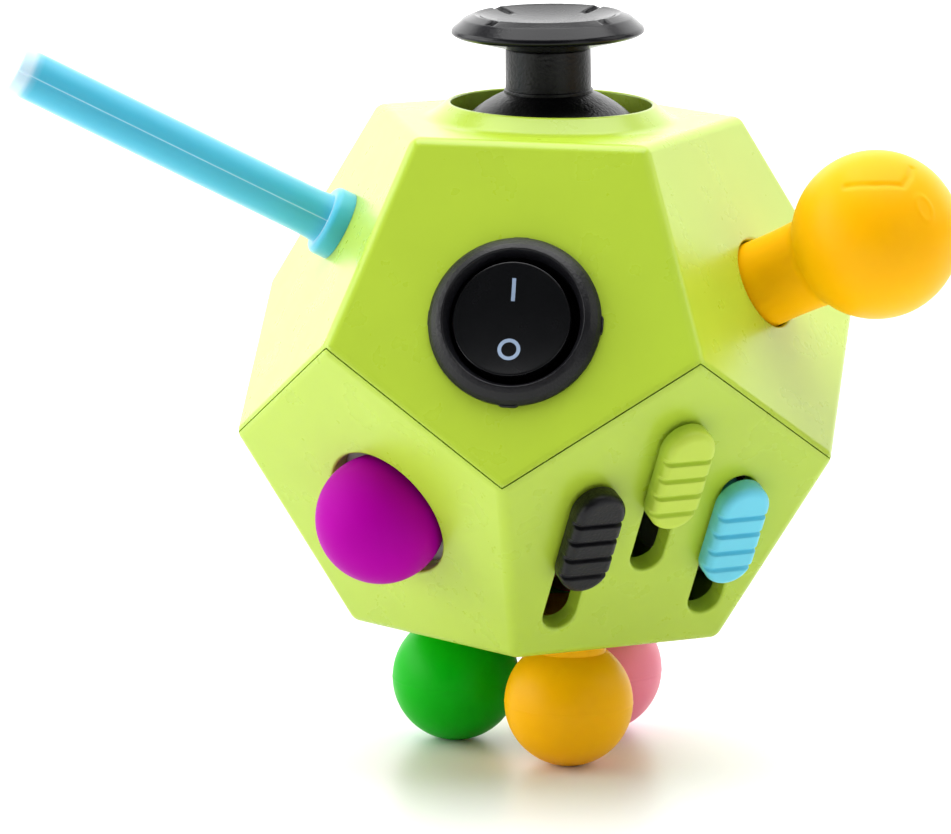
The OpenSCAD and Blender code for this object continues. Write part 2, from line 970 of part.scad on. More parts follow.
module worry_pad() {
    rim_z = 0.3;
    dish_r = 46;
    dish_z = -0.7;
    color("#8a5cc8")
        on_worry_face()
            difference() {
                disc(pad_r, -pad_depth, rim_z);
                translate([0, 0, dish_z + dish_r]) sphere(r = dish_r, $fn = 128);
            }
}

upper_shell();
lower_shell();
joystick_cap();
joystick_stem();
joystick_gimbal();
joystick_base();
joystick_spring();
joystick_screws();
switch_bezel();
switch_rocker();
switch_plunger();
switch_spring();
slider_knob(0, "#2b2c30");  // slider_knob_black
slider_knob(1, "#a5cc44");  // slider_knob_green
slider_knob(2, "#55bbdd");  // slider_knob_blue
slider_retainer(0);  // slider_retainer_black
slider_retainer(1);  // slider_retainer_green
slider_retainer(2);  // slider_retainer_blue
press_ball();
press_plunger();
press_spring();
press_cup();
punch_bulb();
bulb_plug();
pull_tube();
tube_grommet();
foot_ball(0, "#f0b40a");  // foot_ball_yellow
foot_ball(1, "#00a01e");  // foot_ball_green
foot_ball(2, "#e18296");  // foot_ball_pink
dial_cup();
dial_disc();
dial_rivet();
gear_cup();
gear(-gear_apart / 2, 0, "#f08c1e");  // gear_left
gear(gear_apart / 2, 180 / gear_teeth, "#8a5cc8");  // gear_right
gear_pins();
spinner_cup();
spinner_rotor();
spinner_pin();
button(0, "#d23c46");  // button_a
button(1, "#f0b40a");  // button_b
button(2, "#3c8fd0");  // button_c
button_spring(0);  // button_spring_a
button_spring(1);  // button_spring_b
button_spring(2);  // button_spring_c
button_frame();
worry_pad();
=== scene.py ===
"""Looks of the twelve-sided fidget toy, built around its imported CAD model. Lengths are in millimetres until
a piece is made, when they become metres."""

import json
import math

import bmesh
import bpy
from mathutils import Matrix, Vector
from mathutils.geometry import delaunay_2d_cdt


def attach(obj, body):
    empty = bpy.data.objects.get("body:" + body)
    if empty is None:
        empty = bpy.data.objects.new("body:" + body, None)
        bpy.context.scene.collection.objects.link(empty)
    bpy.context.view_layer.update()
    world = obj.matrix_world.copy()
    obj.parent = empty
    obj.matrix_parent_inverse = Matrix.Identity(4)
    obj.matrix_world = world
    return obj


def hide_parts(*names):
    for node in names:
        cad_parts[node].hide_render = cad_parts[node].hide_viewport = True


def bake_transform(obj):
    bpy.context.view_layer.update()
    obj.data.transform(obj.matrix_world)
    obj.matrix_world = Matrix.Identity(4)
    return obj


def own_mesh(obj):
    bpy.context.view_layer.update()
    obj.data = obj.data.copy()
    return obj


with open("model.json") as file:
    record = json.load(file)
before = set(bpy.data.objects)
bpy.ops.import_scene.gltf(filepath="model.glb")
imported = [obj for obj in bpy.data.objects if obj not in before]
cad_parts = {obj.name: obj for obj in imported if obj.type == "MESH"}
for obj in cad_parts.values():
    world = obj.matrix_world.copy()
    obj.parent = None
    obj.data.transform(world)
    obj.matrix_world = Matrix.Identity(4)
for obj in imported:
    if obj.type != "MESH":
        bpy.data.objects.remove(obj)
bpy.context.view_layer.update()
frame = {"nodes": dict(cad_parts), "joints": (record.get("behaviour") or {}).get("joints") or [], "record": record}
JOINTS = {j["name"]: j for j in frame["joints"]}
MM = 0.001

# ---------------- sizes, as in the CAD model

EDGE = 22.0
ROUND = 1.4
WALL = 2.0
SEAM = 0.16
PIVOT_DEPTH = 8.0
PHI = (1 + math.sqrt(5)) / 2
INRADIUS = EDGE / 2 * math.sqrt(2.5 + 1.1 * math.sqrt(5))
RING_TOP_R = EDGE / (2 * math.sin(math.radians(36)))
RING_MID_R = PHI * RING_TOP_R
RING_MID_Z = INRADIUS / PHI**3
LEAN = math.degrees(math.atan(0.5))
CENTRE = Vector((0, 0, JOINTS["joystick_tilt_side"]["pos_m"][2] / MM - INRADIUS + PIVOT_DEPTH))

DOME_R = 11.4
DOME_GAP = 0.35
STICK_HOLE_R = 9.65
COLLAR_R = 11.9
COLLAR_H = 1.55
SHAFT_R = 4.125
CAP_R = 9.3
CAP_RIM_R = 7.1
BEZEL_R = 8.15
BEZEL_ASIDE = 0.25
ROCKER_R = 5.55
SLOT_W, SLOT_L = 3.5, 16.4
KNOB_W, KNOB_L, KNOB_H, KNOB_Z = 5.1, 11.3, 2.45, 0.4
# Each slot's middle, across and up its face, then how far up the knob rests
SLOTS = {"black": (-7.5, -3.6, -0.1), "green": (0.3, 2.6, 6.5), "blue": (8.2, -3.5, -0.87)}
PRESS_R, PRESS_OUT, PRESS_HOLE_R = 6.2, 0.9, 6.75
PRESS_AT = (0.2, -0.2)
BULB_R, BULB_OUT, NECK_R = 8.0, 12.6, 4.3
TUBE_R, TUBE_L, TUBE_COLLAR_R, TUBE_COLLAR_H = 2.35, 35.0, 3.4, 1.9
# Heights of the flange that holds the bulb and the tube behind the wall
ROOT_Z, FLANGE_Z, FLANGE_NECK_Z = -3.2, -2.05, -2.02
FOOT_R, FOOT_DROP, FOOT_SPREAD = 6.2, 6.5, 8.5
FOOT_FLAT = 0.12
FOOT_HOLE_R = 3.55
FEET = {"yellow": -64, "green": 176, "pink": 56}
BUTTON_R, BUTTON_RING_R, BUTTON_PROUD = 3.2, 5.9, 1.8
BUTTONS = {"a": 90, "b": 210, "c": 330}
GEAR_TEETH, GEAR_MODULE = 12, 0.75
GEAR_PITCH_R = GEAR_TEETH * GEAR_MODULE / 2
GEAR_WINDOW_W = 12.2
DIAL_HOLE_R, SPINNER_HOLE_R = 9.5, 10.0
PAD_HOLE_R, PAD_HOLE_DEPTH = 9.5, 1.2
STICK_LEAN = 1.6


# ---------------- frames on the faces


def face_matrix(azimuth, lean):
    """A face's own frame: x across, y up the face, z outward, origin at the face's middle."""
    a, e = math.radians(azimuth), math.radians(lean)
    out = Vector((math.cos(e) * math.cos(a), math.cos(e) * math.sin(a), math.sin(e)))
    across = Vector((-math.sin(a), math.cos(a), 0))
    matrix = Matrix((across, out.cross(across), out)).transposed().to_4x4()
    matrix.translation = CENTRE + out * INRADIUS
    return matrix


TOP = Matrix.Translation(CENTRE + Vector((0, 0, INRADIUS)))
SWITCH = face_matrix(-90, LEAN)
BULB = face_matrix(-18, LEAN)
DIAL = face_matrix(54, LEAN)
GEARS = face_matrix(126, LEAN)
TUBE = face_matrix(198, LEAN)
SLIDERS = face_matrix(-54, -LEAN)
BUTTON_FACE = face_matrix(18, -LEAN)
SPINNER = face_matrix(90, -LEAN)
WORRY = face_matrix(162, -LEAN)
PRESS = face_matrix(-126, -LEAN)


def shifted(matrix, x, y):
    return matrix @ Matrix.Translation((x, y, 0))


def on_joint(matrix, name):
    """The face's frame, moved in its own plane to where a joint's axis meets it."""
    x, y, _ = matrix.inverted() @ (Vector(JOINTS[name]["pos_m"]) / MM)
    return shifted(matrix, x, y)


TILT_CENTRE = Vector((0, 0, -PIVOT_DEPTH))
STICK = (
    TOP
    @ Matrix.Translation(TILT_CENTRE)
    @ Matrix.Rotation(math.radians(-STICK_LEAN), 4, "Y")
    @ Matrix.Translation(-TILT_CENTRE)
)
AT_ROCKER = on_joint(SWITCH, "rocker_tilt")
AT_SWITCH = shifted(AT_ROCKER, BEZEL_ASIDE, 0)
AT_BULB = on_joint(BULB, "bulb_bend")
AT_TUBE = on_joint(TUBE, "tube_bend")
AT_PRESS = shifted(PRESS, *PRESS_AT)


# ---------------- mesh code


def polar(radius, degrees):
    a = math.radians(degrees)
    return radius * math.cos(a), radius * math.sin(a)


def arc(centre, radius, start, stop, steps):
    """Points on an arc in a profile's plane; angles in degrees."""
    found = []
    for i in range(steps + 1):
        x, y = polar(radius, start + (stop - start) * i / steps)
        found.append((centre[0] + x, centre[1] + y))
    return found


def rounded(points, steps=6):
    """A polyline of (x, y, radius) with each corner replaced by an arc of its radius."""
    found = []
    for i, (x, y, radius) in enumerate(points):
        here = Vector((x, y))
        if radius == 0 or i in (0, len(points) - 1):
            found.append((x, y))
            continue
        back = (Vector(points[i - 1][:2]) - here).normalized()
        on = (Vector(points[i + 1][:2]) - here).normalized()
        half = back.angle(on) / 2
        start = here + back * (radius / math.tan(half))
        centre = here + (back + on).normalized() * (radius / math.sin(half))
        first = start - centre
        turn = math.pi - 2 * half
        sign = 1 if back.x * on.y - back.y * on.x < 0 else -1
        for k in range(steps + 1):
            a = sign * turn * k / steps
            c, s = math.cos(a), math.sin(a)
            found.append((centre.x + first.x * c - first.y * s, centre.y + first.x * s + first.y * c))
    return found


class Solid:
    """Vertices and faces gathered for one piece, in millimetres in the frame that matrix gives."""

    def __init__(self, matrix=None):
        self.matrix = matrix or Matrix.Identity(4)
        self.points, self.faces = [], []

    def add(self, points, faces):
        base = len(self.points)
        self.points += [self.matrix @ Vector(p) for p in points]
        self.faces += [[base + i for i in f] for f in faces]

    def grid(self, rows, closed=False):
        """Rows of equally many points joined by quads; closed joins each row's end to its start."""
        width = len(rows[0])
        across = width if closed else width - 1
        faces = []
        for r in range(len(rows) - 1):
            here, there = r * width, (r + 1) * width
            for c in range(across):
                on = (c + 1) % width
                faces.append((here + c, here + on, there + on, there + c))
        self.add([p for row in rows for p in row], faces)

    def join(self, other):
        """Takes in another solid's mesh, where it stands."""
        base = len(self.points)
        self.points += other.points
        self.faces += [[base + i for i in f] for f in other.faces]
        return self

    def cap(self, loop):
        """Closes an end with one flat face."""
        self.add(loop, [list(range(len(loop)))])

    def lathe(self, profile, segments=96, warp=None):
        """Turns a profile of (radius, height) round z. warp moves a point."""
        rows = []
        for r, z in profile:
            row = []
            for k in range(segments):
                a = 2 * math.pi * k / segments
                p = Vector((r * math.cos(a), r * math.sin(a), z))
                row.append(warp(p) if warp else p)
            rows.append(row)
        self.grid(rows, closed=True)
        return self

    def stack(self, outline, profile, caps=(True, True)):
        """Loops outline(offset) at the heights of a profile of (offset, height), with flat ends."""
        rows = [[(x, y, z) for x, y in outline(offset)] for offset, z in profile]
        self.grid(rows, closed=True)
        for wanted, row in zip(caps, (rows[0], rows[-1])):
            if wanted:
                self.cap(row)
        return self

    def mesh(self, name, weld=0.002):
        """The gathered mesh in metres, welded, with its normals outward."""
        bm = bmesh.new()
        verts = [bm.verts.new(p) for p in self.points]
        for f in self.faces:
            try:
                bm.faces.new([verts[i] for i in f])
            except ValueError:
                continue
        bmesh.ops.remove_doubles(bm, verts=bm.verts, dist=weld)
        bmesh.ops.dissolve_degenerate(bm, dist=weld / 2, edges=bm.edges)
        bmesh.ops.recalc_face_normals(bm, faces=bm.faces)
        bmesh.ops.scale(bm, vec=(MM, MM, MM), verts=bm.verts)
        mesh = bpy.data.meshes.new(name)
        bm.to_mesh(mesh)
        bm.free()
        return mesh


def piece(name, solid, body, slot, replaces=(), look=None, sharp=40):
    """Makes a solid into a smooth-shaded piece that rides on a CAD body. Its material is its slot's, or
    the one that look names."""
    mesh = solid.mesh(name)
    mesh.shade_smooth()
    mesh.set_sharp_from_angle(angle=math.radians(sharp))
    obj = bpy.data.objects.new(name, mesh)
    bpy.context.scene.collection.objects.link(obj)
    mesh.materials.append(MATERIALS[look or slot])
    weighted = obj.modifiers.new("weighted", "WEIGHTED_NORMAL")
    weighted.keep_sharp = True
    if body:
        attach(obj, body)
    if replaces:
        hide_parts(*replaces)
    return obj


def circle(radius, count=96):
    """Outline of a circle: a function of how far out the loop is moved."""
    turns = [2 * math.pi * k / count for k in range(count)]

    def outline(offset=0.0):
        r = radius + offset
        return [(r * math.cos(a), r * math.sin(a)) for a in turns]

    return outline


def stadium(width, length, count=24):
    """Outline of a slot with round ends, long along y."""

    half = (length - width) / 2

    def outline(offset=0.0):
        r = width / 2 + offset
        return arc((0, half), r, 0, 180, count) + arc((0, -half), r, 180, 360, count)

    return outline


def moved(outline, x, y, quarter=False):
    """An outline moved to (x, y), and before that turned a quarter where that is asked."""

    def placed(offset=0.0):
        return [(x - q, y + p) if quarter else (x + p, y + q) for p, q in outline(offset)]

    return placed


def inside(point, loop):
    """Whether a point lies in a loop, by counting the edges to its right."""
    x, y = point
    hit = False
    for (ax, ay), (bx, by) in zip(loop, loop[1:] + loop[:1]):
        if (ay > y) != (by > y) and x < ax + (bx - ax) * (y - ay) / (by - ay):
            hit = not hit
    return hit


def fill(boundary, holes):
    """Triangles between a boundary and hole loops, as indices into boundary + holes."""
    loops = [boundary, *holes]
    coords = [Vector(p) for loop in loops for p in loop]
    edges, base = [], 0
    for loop in loops:
        edges += [(base + i, base + (i + 1) % len(loop)) for i in range(len(loop))]
        base += len(loop)
    verts, _, faces, source, _, _ = delaunay_2d_cdt(coords, edges, [], 0, 1e-7)
    kept = []
    for f in faces:
        middle = sum((verts[i] for i in f), Vector((0, 0))) / len(f)
        if inside(middle, boundary) and not any(inside(middle, hole) for hole in holes):
            kept.append([source[i][0] for i in f])
    return kept


def grown(points):
    """An outline function that moves a loop's points out along the loop's own normals."""
    loop = [Vector(p) for p in points]
    normals = []
    for i, p in enumerate(loop):
        back, on = (p - loop[i - 1]).normalized(), (loop[(i + 1) % len(loop)] - p).normalized()
        side = Vector((back.y + on.y, -back.x - on.x)).normalized()
        normals.append(side / max(0.5, side.dot(Vector((back.y, -back.x)))))

    def outline(offset=0.0):
        return [tuple(p + n * offset) for p, n in zip(loop, normals)]

    return outline


def plate(matrix, outline, holes, top, bottom, rim=0.2):
    """A flat piece with a rounded upper rim. holes lists (outline, floor), where floor is None for a hole
    right through."""
    solid = Solid(matrix)
    turns = [math.radians(15 * k) for k in range(7)]
    side = [(0, bottom)] + [(rim * (math.cos(a) - 1), top - rim + rim * math.sin(a)) for a in turns]
    solid.stack(outline, side, caps=(False, False))
    lip_r = rim / 2
    mouths = [loop(lip_r) for loop, _ in holes]
    edge = outline(-rim)
    solid.add([(x, y, top) for x, y in edge + [p for m in mouths for p in m]], fill(edge, mouths))
    through = []
    for loop, floor in holes:
        end = bottom if floor is None else floor
        wall = [(lip_r * (1 - math.sin(a)), top - lip_r * (1 - math.cos(a))) for a in turns] + [(0, end)]
        solid.stack(loop, wall, caps=(False, floor is not None))
        if floor is None:
            through.append(loop())
    base = outline()
    solid.add([(x, y, bottom) for x, y in base + [p for t in through for p in t]], fill(base, through))
    return solid


def on_spokes(count, start, radius):
    return [polar(radius, start + 360 * k / count) for k in range(count)]


BUTTON_PLACES = {name: polar(BUTTON_RING_R, azimuth) for name, azimuth in BUTTONS.items()}
FOOT_PLACES = {name: polar(FOOT_SPREAD, azimuth) for name, azimuth in FEET.items()}


# ---------------- the two shells


def ring(radius, height, start):
    return [Vector((*point, height)) for point in on_spokes(5, start, radius)]


CORNERS = (
    ring(RING_TOP_R, INRADIUS, -54)
    + ring(RING_MID_R, RING_MID_Z, -54)
    + ring(RING_MID_R, -RING_MID_Z, -90)
    + ring(RING_TOP_R, -INRADIUS, -90)
)
UPPER_FACES = [[0, 1, 2, 3, 4]] + [
    [5 + (k + 4) % 5, 10 + k, 5 + k, k, (k + 4) % 5] for k in range(5)
]
LOWER_FACES = [[19, 18, 17, 16, 15]] + [
    [10 + k, 15 + k, 15 + (k + 1) % 5, 10 + (k + 1) % 5, 5 + k] for k in range(5)
]
FLIP = Matrix(((1, 0, 0, 0), (0, -1, 0, 0), (0, 0, -1, 0), (0, 0, 0, 1)))
BOTTOM = Matrix.Translation(CENTRE - Vector((0, 0, INRADIUS))) @ FLIP
UPPER_FRAMES = [TOP, SWITCH, BULB, DIAL, GEARS, TUBE]
LOWER_FRAMES = [BOTTOM, SLIDERS, BUTTON_FACE, SPINNER, WORRY, PRESS]


def slerp(a, b, t):
    """A unit vector a share t of the way round from one to another."""
    angle = a.angle(b)
    return (a * math.sin((1 - t) * angle) + b * math.sin(t * angle)) / math.sin(angle)


def face_normal(face):
    return sum((CORNERS[i] for i in face), Vector()).normalized()


def lip(radius, depth=WALL, steps=4):
    """Profile of a moulded hole: a small rounded lip, then the wall down to the inside."""
    turns = [math.radians(90 * k / steps) for k in range(steps + 1)]
    return [(radius * (1 - math.sin(a)), -radius * (1 - math.cos(a))) for a in turns] + [(0, -depth)]


def collar_profile():
    """The raised collar round the joystick, from the flat face over the rim to the inside."""
    clear = DOME_R + DOME_GAP
    under = math.sqrt(clear**2 - (PIVOT_DEPTH - WALL) ** 2)
    wall_end = math.sqrt(clear**2 - STICK_HOLE_R**2) - PIVOT_DEPTH
    corners = [
        (COLLAR_R + 1.2, 0, 0),
        (COLLAR_R, 0, 1.6),
        (STICK_HOLE_R + 0.35, COLLAR_H, 0.5),
        (STICK_HOLE_R, COLLAR_H - 0.05, 0.2),
        (STICK_HOLE_R, wall_end, 0),
        (under, -WALL, 0),
    ]
    return [(r - STICK_HOLE_R, z) for r, z in rounded(corners)]


def holes_of():
    """Holes of the upper and the lower faces, in the order of their frames: (outline, profile)."""
    switch = SWITCH.inverted() @ AT_SWITCH.translation
    bulb = BULB.inverted() @ AT_BULB.translation
    tube = TUBE.inverted() @ AT_TUBE.translation
    feet = [BOTTOM.inverted() @ Vector((*place, 0)) for place in FOOT_PLACES.values()]
    gear_window = stadium(GEAR_WINDOW_W, GEAR_WINDOW_W + 2 * GEAR_PITCH_R)
    button_hole = circle(BUTTON_R + 0.15, 64)
    upper = [
        [(circle(STICK_HOLE_R, 128), collar_profile())],
        [(moved(circle(BEZEL_R - 0.65), switch.x, switch.y), lip(0.25))],
        [(moved(circle(NECK_R + 0.1), bulb.x, bulb.y), lip(0.35))],
        [(circle(DIAL_HOLE_R), lip(0.3))],
        [(moved(gear_window, 0, 0, quarter=True), lip(0.3))],
        [(moved(circle(TUBE_COLLAR_R - 0.5, 64), tube.x, tube.y), lip(0.2))],
    ]
    lower = [
        [(moved(circle(FOOT_HOLE_R, 48), foot.x, foot.y), lip(0.25)) for foot in feet],
        [(moved(stadium(SLOT_W, SLOT_L), x, y), lip(0.3)) for x, y, _ in SLOTS.values()],
        [(moved(button_hole, *place), lip(0.25)) for place in BUTTON_PLACES.values()],
        [(circle(SPINNER_HOLE_R), lip(0.3))],
        [(circle(PAD_HOLE_R), lip(0.3, PAD_HOLE_DEPTH))],
        [(moved(circle(PRESS_HOLE_R), *PRESS_AT), lip(0.3))],
    ]
    return upper, lower


def key(p):
    """A point's name, rounded to half a micrometre, so that points at one place share it."""
    return tuple(round(c * 2000) for c in p)


def lifted(matrix, loop, height):
    """A flat loop's points, placed at a height of a face's frame."""
    return [matrix @ Vector((x, y, height)) for x, y in loop]


def shell(faces, frames, holes, others, side, steps=7):
    """One moulded half: flat faces with holes, rounded edges and corners, joint lips and an inside."""
    solid = Solid()
    normals = {tuple(sorted(f)): face_normal(f) for f in faces + others}
    own = [set(f) for f in faces]
    inset = (INRADIUS - ROUND) / INRADIUS
    inner = (INRADIUS - WALL) / INRADIUS
    seam_points = set()
    for face, matrix, face_holes in zip(faces, frames, holes):
        flat = matrix.inverted()
        normal = normals[tuple(sorted(face))]
        mids, is_seam = [], []
        for i in range(5):
            pair = {face[i], face[(i + 1) % 5]}
            across = next(f for f in faces + others if pair <= set(f) and set(f) != set(face))
            mids.append(slerp(normal, normals[tuple(sorted(across))], 0.5))
            is_seam.append(set(across) not in own)
        inner_boundary = []
        for i in range(5):
            here, there = CORNERS[face[i]], CORNERS[face[(i + 1) % 5]]
            centre, next_centre = CENTRE + here * inset, CENTRE + there * inset
            tip, next_tip = here.normalized(), there.normalized()
            rows = [slerp(normal, mids[i], s / steps) * ROUND for s in range(steps + 1)]
            solid.grid([[centre + d, next_centre + d] for d in rows])
            kite = []
            for s in range(steps + 1):
                first, last = slerp(normal, mids[i], s / steps), slerp(mids[i - 1], tip, s / steps)
                kite.append([centre + slerp(first, last, t / steps) * ROUND for t in range(steps + 1)])
            solid.grid(kite)
            inner_here, inner_there = CENTRE + here * inner, CENTRE + there * inner
            inner_boundary.append(inner_here)
            if not is_seam[i]:
                continue
            ridge = [centre + slerp(mids[i], tip, t / steps) * ROUND for t in range(steps, -1, -1)]
            ridge += [next_centre + slerp(mids[i], next_tip, t / steps) * ROUND for t in range(steps + 1)]
            along = ridge[-1] - ridge[0]
            shares = [(p - ridge[0]).dot(along) / along.length_squared for p in ridge]
            under = [inner_here.lerp(inner_there, share) for share in shares]
            solid.grid([ridge, under])
            inner_boundary += under[1:-1]
            seam_points |= {key(p) for p in ridge + under}
        loops = [outline for outline, _ in face_holes]
        profiles = [profile for _, profile in face_holes]
        outer = [flat @ (CENTRE + CORNERS[i] * inset + normal * ROUND) for i in face]
        starts = [loop(profile[0][0]) for loop, profile in zip(loops, profiles)]
        ends = [loop(profile[-1][0]) for loop, profile in zip(loops, profiles)]
        blind = [profile[-1][1] > -WALL + 0.01 for profile in profiles]
        flat_points = [(p.x, p.y) for p in outer] + [p for s in starts for p in s]
        solid.add(lifted(matrix, flat_points, 0), fill([(p.x, p.y) for p in outer], starts))
        open_ends = [e for e, b in zip(ends, blind) if not b]
        below = [flat @ p for p in inner_boundary]
        below_points = [(p.x, p.y) for p in below] + [p for e in open_ends for p in e]
        solid.add(
            inner_boundary + lifted(matrix, below_points[len(below):], -WALL),
            fill([(p.x, p.y) for p in below], open_ends),
        )
        for loop, profile, end, closed_end in zip(loops, profiles, ends, blind):
            solid.grid([lifted(matrix, loop(offset), z) for offset, z in profile], closed=True)
            if closed_end:
                solid.cap(lifted(matrix, end, profile[-1][1]))
    nudge = Vector((0, 0, side * SEAM / 2))
    solid.points = [p + nudge if key(p) in seam_points else p for p in solid.points]
    return solid


# ---------------- materials


def linear(r, g, b):
    """A colour given as 0 to 255 display values."""
    found = []
    for c in (r, g, b):
        c /= 255
        found.append(c / 12.92 if c <= 0.04045 else ((c + 0.055) / 1.055) ** 2.4)
    return (*found, 1.0)


NOISE_SPAN = (0.3, 0.7)
DRIFT_MM, PATCH_MM, WAVE_MM = 9.0, 3.5, 5.0


def noise(tree, coords, size_mm, detail=3.0):
    node = tree.nodes.new("ShaderNodeTexNoise")
    node.inputs["Scale"].default_value = 1 / (size_mm * MM)
    node.inputs["Detail"].default_value = detail
    tree.links.new(coords, node.inputs["Vector"])
    return node.outputs["Fac"]


def remap(tree, value, low, high):
    """A noise value spread over a new range."""
    node = tree.nodes.new("ShaderNodeMapRange")
    node.inputs["From Min"].default_value, node.inputs["From Max"].default_value = NOISE_SPAN
    node.inputs["To Min"].default_value = low
    node.inputs["To Max"].default_value = high
    tree.links.new(value, node.inputs["Value"])
    return node.outputs["Result"]


def mixed(tree, factor, second):
    """A node that mixes two colours, with its factor linked and its second colour set."""
    node = tree.nodes.new("ShaderNodeMix")
    node.data_type = "RGBA"
    tree.links.new(factor, node.inputs["Factor"])
    node.inputs["B"].default_value = second
    return node


def surface(
    name,
    colour,
    roughness=0.4,
    tint=0.04,
    grain_mm=0.25,
    grain_depth=0.01,
    waves_depth=0.0,
    spread=0.06,
    subsurface=0.0,
    reach_mm=(1.0, 1.0, 1.0),
    sheen=0.0,
    metallic=0.0,
    specular=0.5,
    highlight_paint=None,
):
    """A moulded or drawn material: slight colour drift, uneven roughness, and two sizes of bump."""
    material = bpy.data.materials.new(name)
    material.use_nodes = True
    tree = material.node_tree
    shader = tree.nodes["Principled BSDF"]
    coords = tree.nodes.new("ShaderNodeTexCoord").outputs["Object"]
    darker, lighter = (
        tuple(min(1, c * share) for c in linear(*colour)[:3]) + (1.0,) for share in (1 - tint, 1 + tint)
    )
    drift = mixed(tree, remap(tree, noise(tree, coords, DRIFT_MM), 0, 1), lighter)
    drift.inputs["A"].default_value = darker
    colour_out = drift.outputs["Result"]
    # Painted highlight: a pale colour mixed in by a per-point attribute
    if highlight_paint:
        where = tree.nodes.new("ShaderNodeAttribute")
        where.attribute_name = "painted_highlight"
        highlight_mix = mixed(tree, where.outputs["Fac"], linear(*highlight_paint))
        tree.links.new(colour_out, highlight_mix.inputs["A"])
        colour_out = highlight_mix.outputs["Result"]
    tree.links.new(colour_out, shader.inputs["Base Color"])
    patchy = remap(tree, noise(tree, coords, PATCH_MM, 4), roughness - spread, roughness + spread)
    tree.links.new(patchy, shader.inputs["Roughness"])
    bump = tree.nodes.new("ShaderNodeBump")
    bump.inputs["Strength"].default_value = 1.0
    bump.inputs["Distance"].default_value = grain_depth * MM
    tree.links.new(noise(tree, coords, grain_mm, 2), bump.inputs["Height"])
    if waves_depth:
        waves = tree.nodes.new("ShaderNodeBump")
        waves.inputs["Distance"].default_value = waves_depth * MM
        tree.links.new(noise(tree, coords, WAVE_MM, 1), waves.inputs["Height"])
        tree.links.new(waves.outputs["Normal"], bump.inputs["Normal"])
    tree.links.new(bump.outputs["Normal"], shader.inputs["Normal"])
    shader.inputs["Metallic"].default_value = metallic
    shader.inputs["Specular IOR Level"].default_value = specular
    shader.inputs["Sheen Weight"].default_value = sheen
    shader.inputs["Sheen Roughness"].default_value = 0.4
    if subsurface:
        shader.inputs["Subsurface Weight"].default_value = subsurface
        shader.inputs["Subsurface Radius"].default_value = reach_mm
        shader.inputs["Subsurface Scale"].default_value = MM
    return material


# Each material: its name, colour, roughness, tint, grain_mm and grain_depth, then what else it needs
MATERIALS = {
    "shell": surface(
        "lime_shell", (176, 204, 58), 0.28, 0.02, 0.35, 0.0015, waves_depth=0.002, spread=0.012,
        subsurface=0.06, reach_mm=(1.0, 1.2, 0.4),
    ),
    "thumb_rubber": surface(
        "thumb_rubber", (12, 12, 16), 0.25, 0.12, 0.26, 0.012, spread=0.03, specular=0.24
    ),
    "black_plastic": surface("grained_black", (12, 12, 16), 0.36, 0.14, 0.28, 0.045, specular=0.26),
    "shaft": surface("shaft_black", (5, 5, 6), 0.34, 0.14, 0.32, 0.06, specular=0.26),
    "inner_plastic": surface("natural_plastic", (205, 203, 196), 0.5, 0.03, 0.3, 0.004),
    "spring_steel": surface("drawn_steel", (170, 172, 176), 0.3, 0.05, 0.2, 0.003, metallic=1.0),
    "rocker_plastic": surface(
        "rocker_black", (11, 12, 14), 0.26, 0.1, 0.5, 0.002, waves_depth=0.002, spread=0.02, specular=0.36
    ),
    "lime_plastic": surface(
        "lime_knob", (186, 210, 72), 0.42, 0.02, 0.2, 0.004, specular=0.3,
        subsurface=0.06, reach_mm=(0.8, 1.0, 0.4),
    ),
    "blue_plastic": surface(
        "blue_knob", (106, 206, 230), 0.42, 0.02, 0.2, 0.004, specular=0.3,
        subsurface=0.06, reach_mm=(0.4, 0.8, 1.0),
    ),
    "purple_silicone": surface(
        "purple_silicone", (170, 0, 156), 0.5, 0.03, 0.25, 0.006, specular=0.03,
        subsurface=0.1, reach_mm=(1.2, 0.1, 1.0),
    ),
    "yellow_silicone": surface(
        "yellow_silicone", (255, 184, 0), 0.4, 0.02, 0.3, 0.005, specular=0.1,
        subsurface=0.2, reach_mm=(2.0, 1.2, 0.1),
    ),
    # Its last colour is the painted highlight on the tube's tip and moulding lines
    "blue_silicone": surface(
        "blue_silicone", (72, 184, 214), 0.38, 0.02, 0.3, 0.004, specular=0.3, sheen=0.8,
        subsurface=0.3, reach_mm=(0.8, 1.6, 2.0), highlight_paint=(226, 242, 252),
    ),
    "green_silicone": surface(
        "green_silicone", (0, 180, 12), 0.42, 0.03, 0.3, 0.005, specular=0.12,
        subsurface=0.1, reach_mm=(0.1, 1.4, 0.2),
    ),
    "pink_silicone": surface(
        "pink_silicone", (253, 140, 168), 0.42, 0.02, 0.3, 0.005, specular=0.2,
        subsurface=0.2, reach_mm=(2.0, 0.8, 0.8),
    ),
    "dial_plastic": surface("dial_blue", (48, 128, 200), 0.3, 0.03, 0.3, 0.003),
    "orange_plastic": surface("orange_gear", (236, 120, 24), 0.4, 0.03, 0.2, 0.004),
    "violet_plastic": surface("violet_gear", (122, 78, 190), 0.4, 0.03, 0.2, 0.004),
    "red_plastic": surface("red_plastic", (200, 44, 54), 0.32, 0.03, 0.25, 0.004),
    "yellow_plastic": surface("yellow_button", (240, 176, 16), 0.32, 0.03, 0.25, 0.004),
    "violet_silicone": surface(
        "violet_silicone", (128, 84, 194), 0.5, 0.03, 0.25, 0.006, sheen=0.15,
        subsurface=0.15, reach_mm=(1.0, 0.6, 1.6),
    ),
    "print": surface("pale_print", (140, 160, 186), 0.5, 0.05, 0.1, 0.004),
}


# ---------------- build: shells


def make_shells():
    upper_holes, lower_holes = holes_of()
    upper = shell(UPPER_FACES, UPPER_FRAMES, upper_holes, LOWER_FACES, 1)
    lower = shell(LOWER_FACES, LOWER_FRAMES, lower_holes, UPPER_FACES, -1)
    piece("upper_shell_skin", upper, "root", "shell", ["upper_shell"])
    piece("lower_shell_skin", lower, "root", "shell", ["lower_shell"])


# ---------------- build: joystick

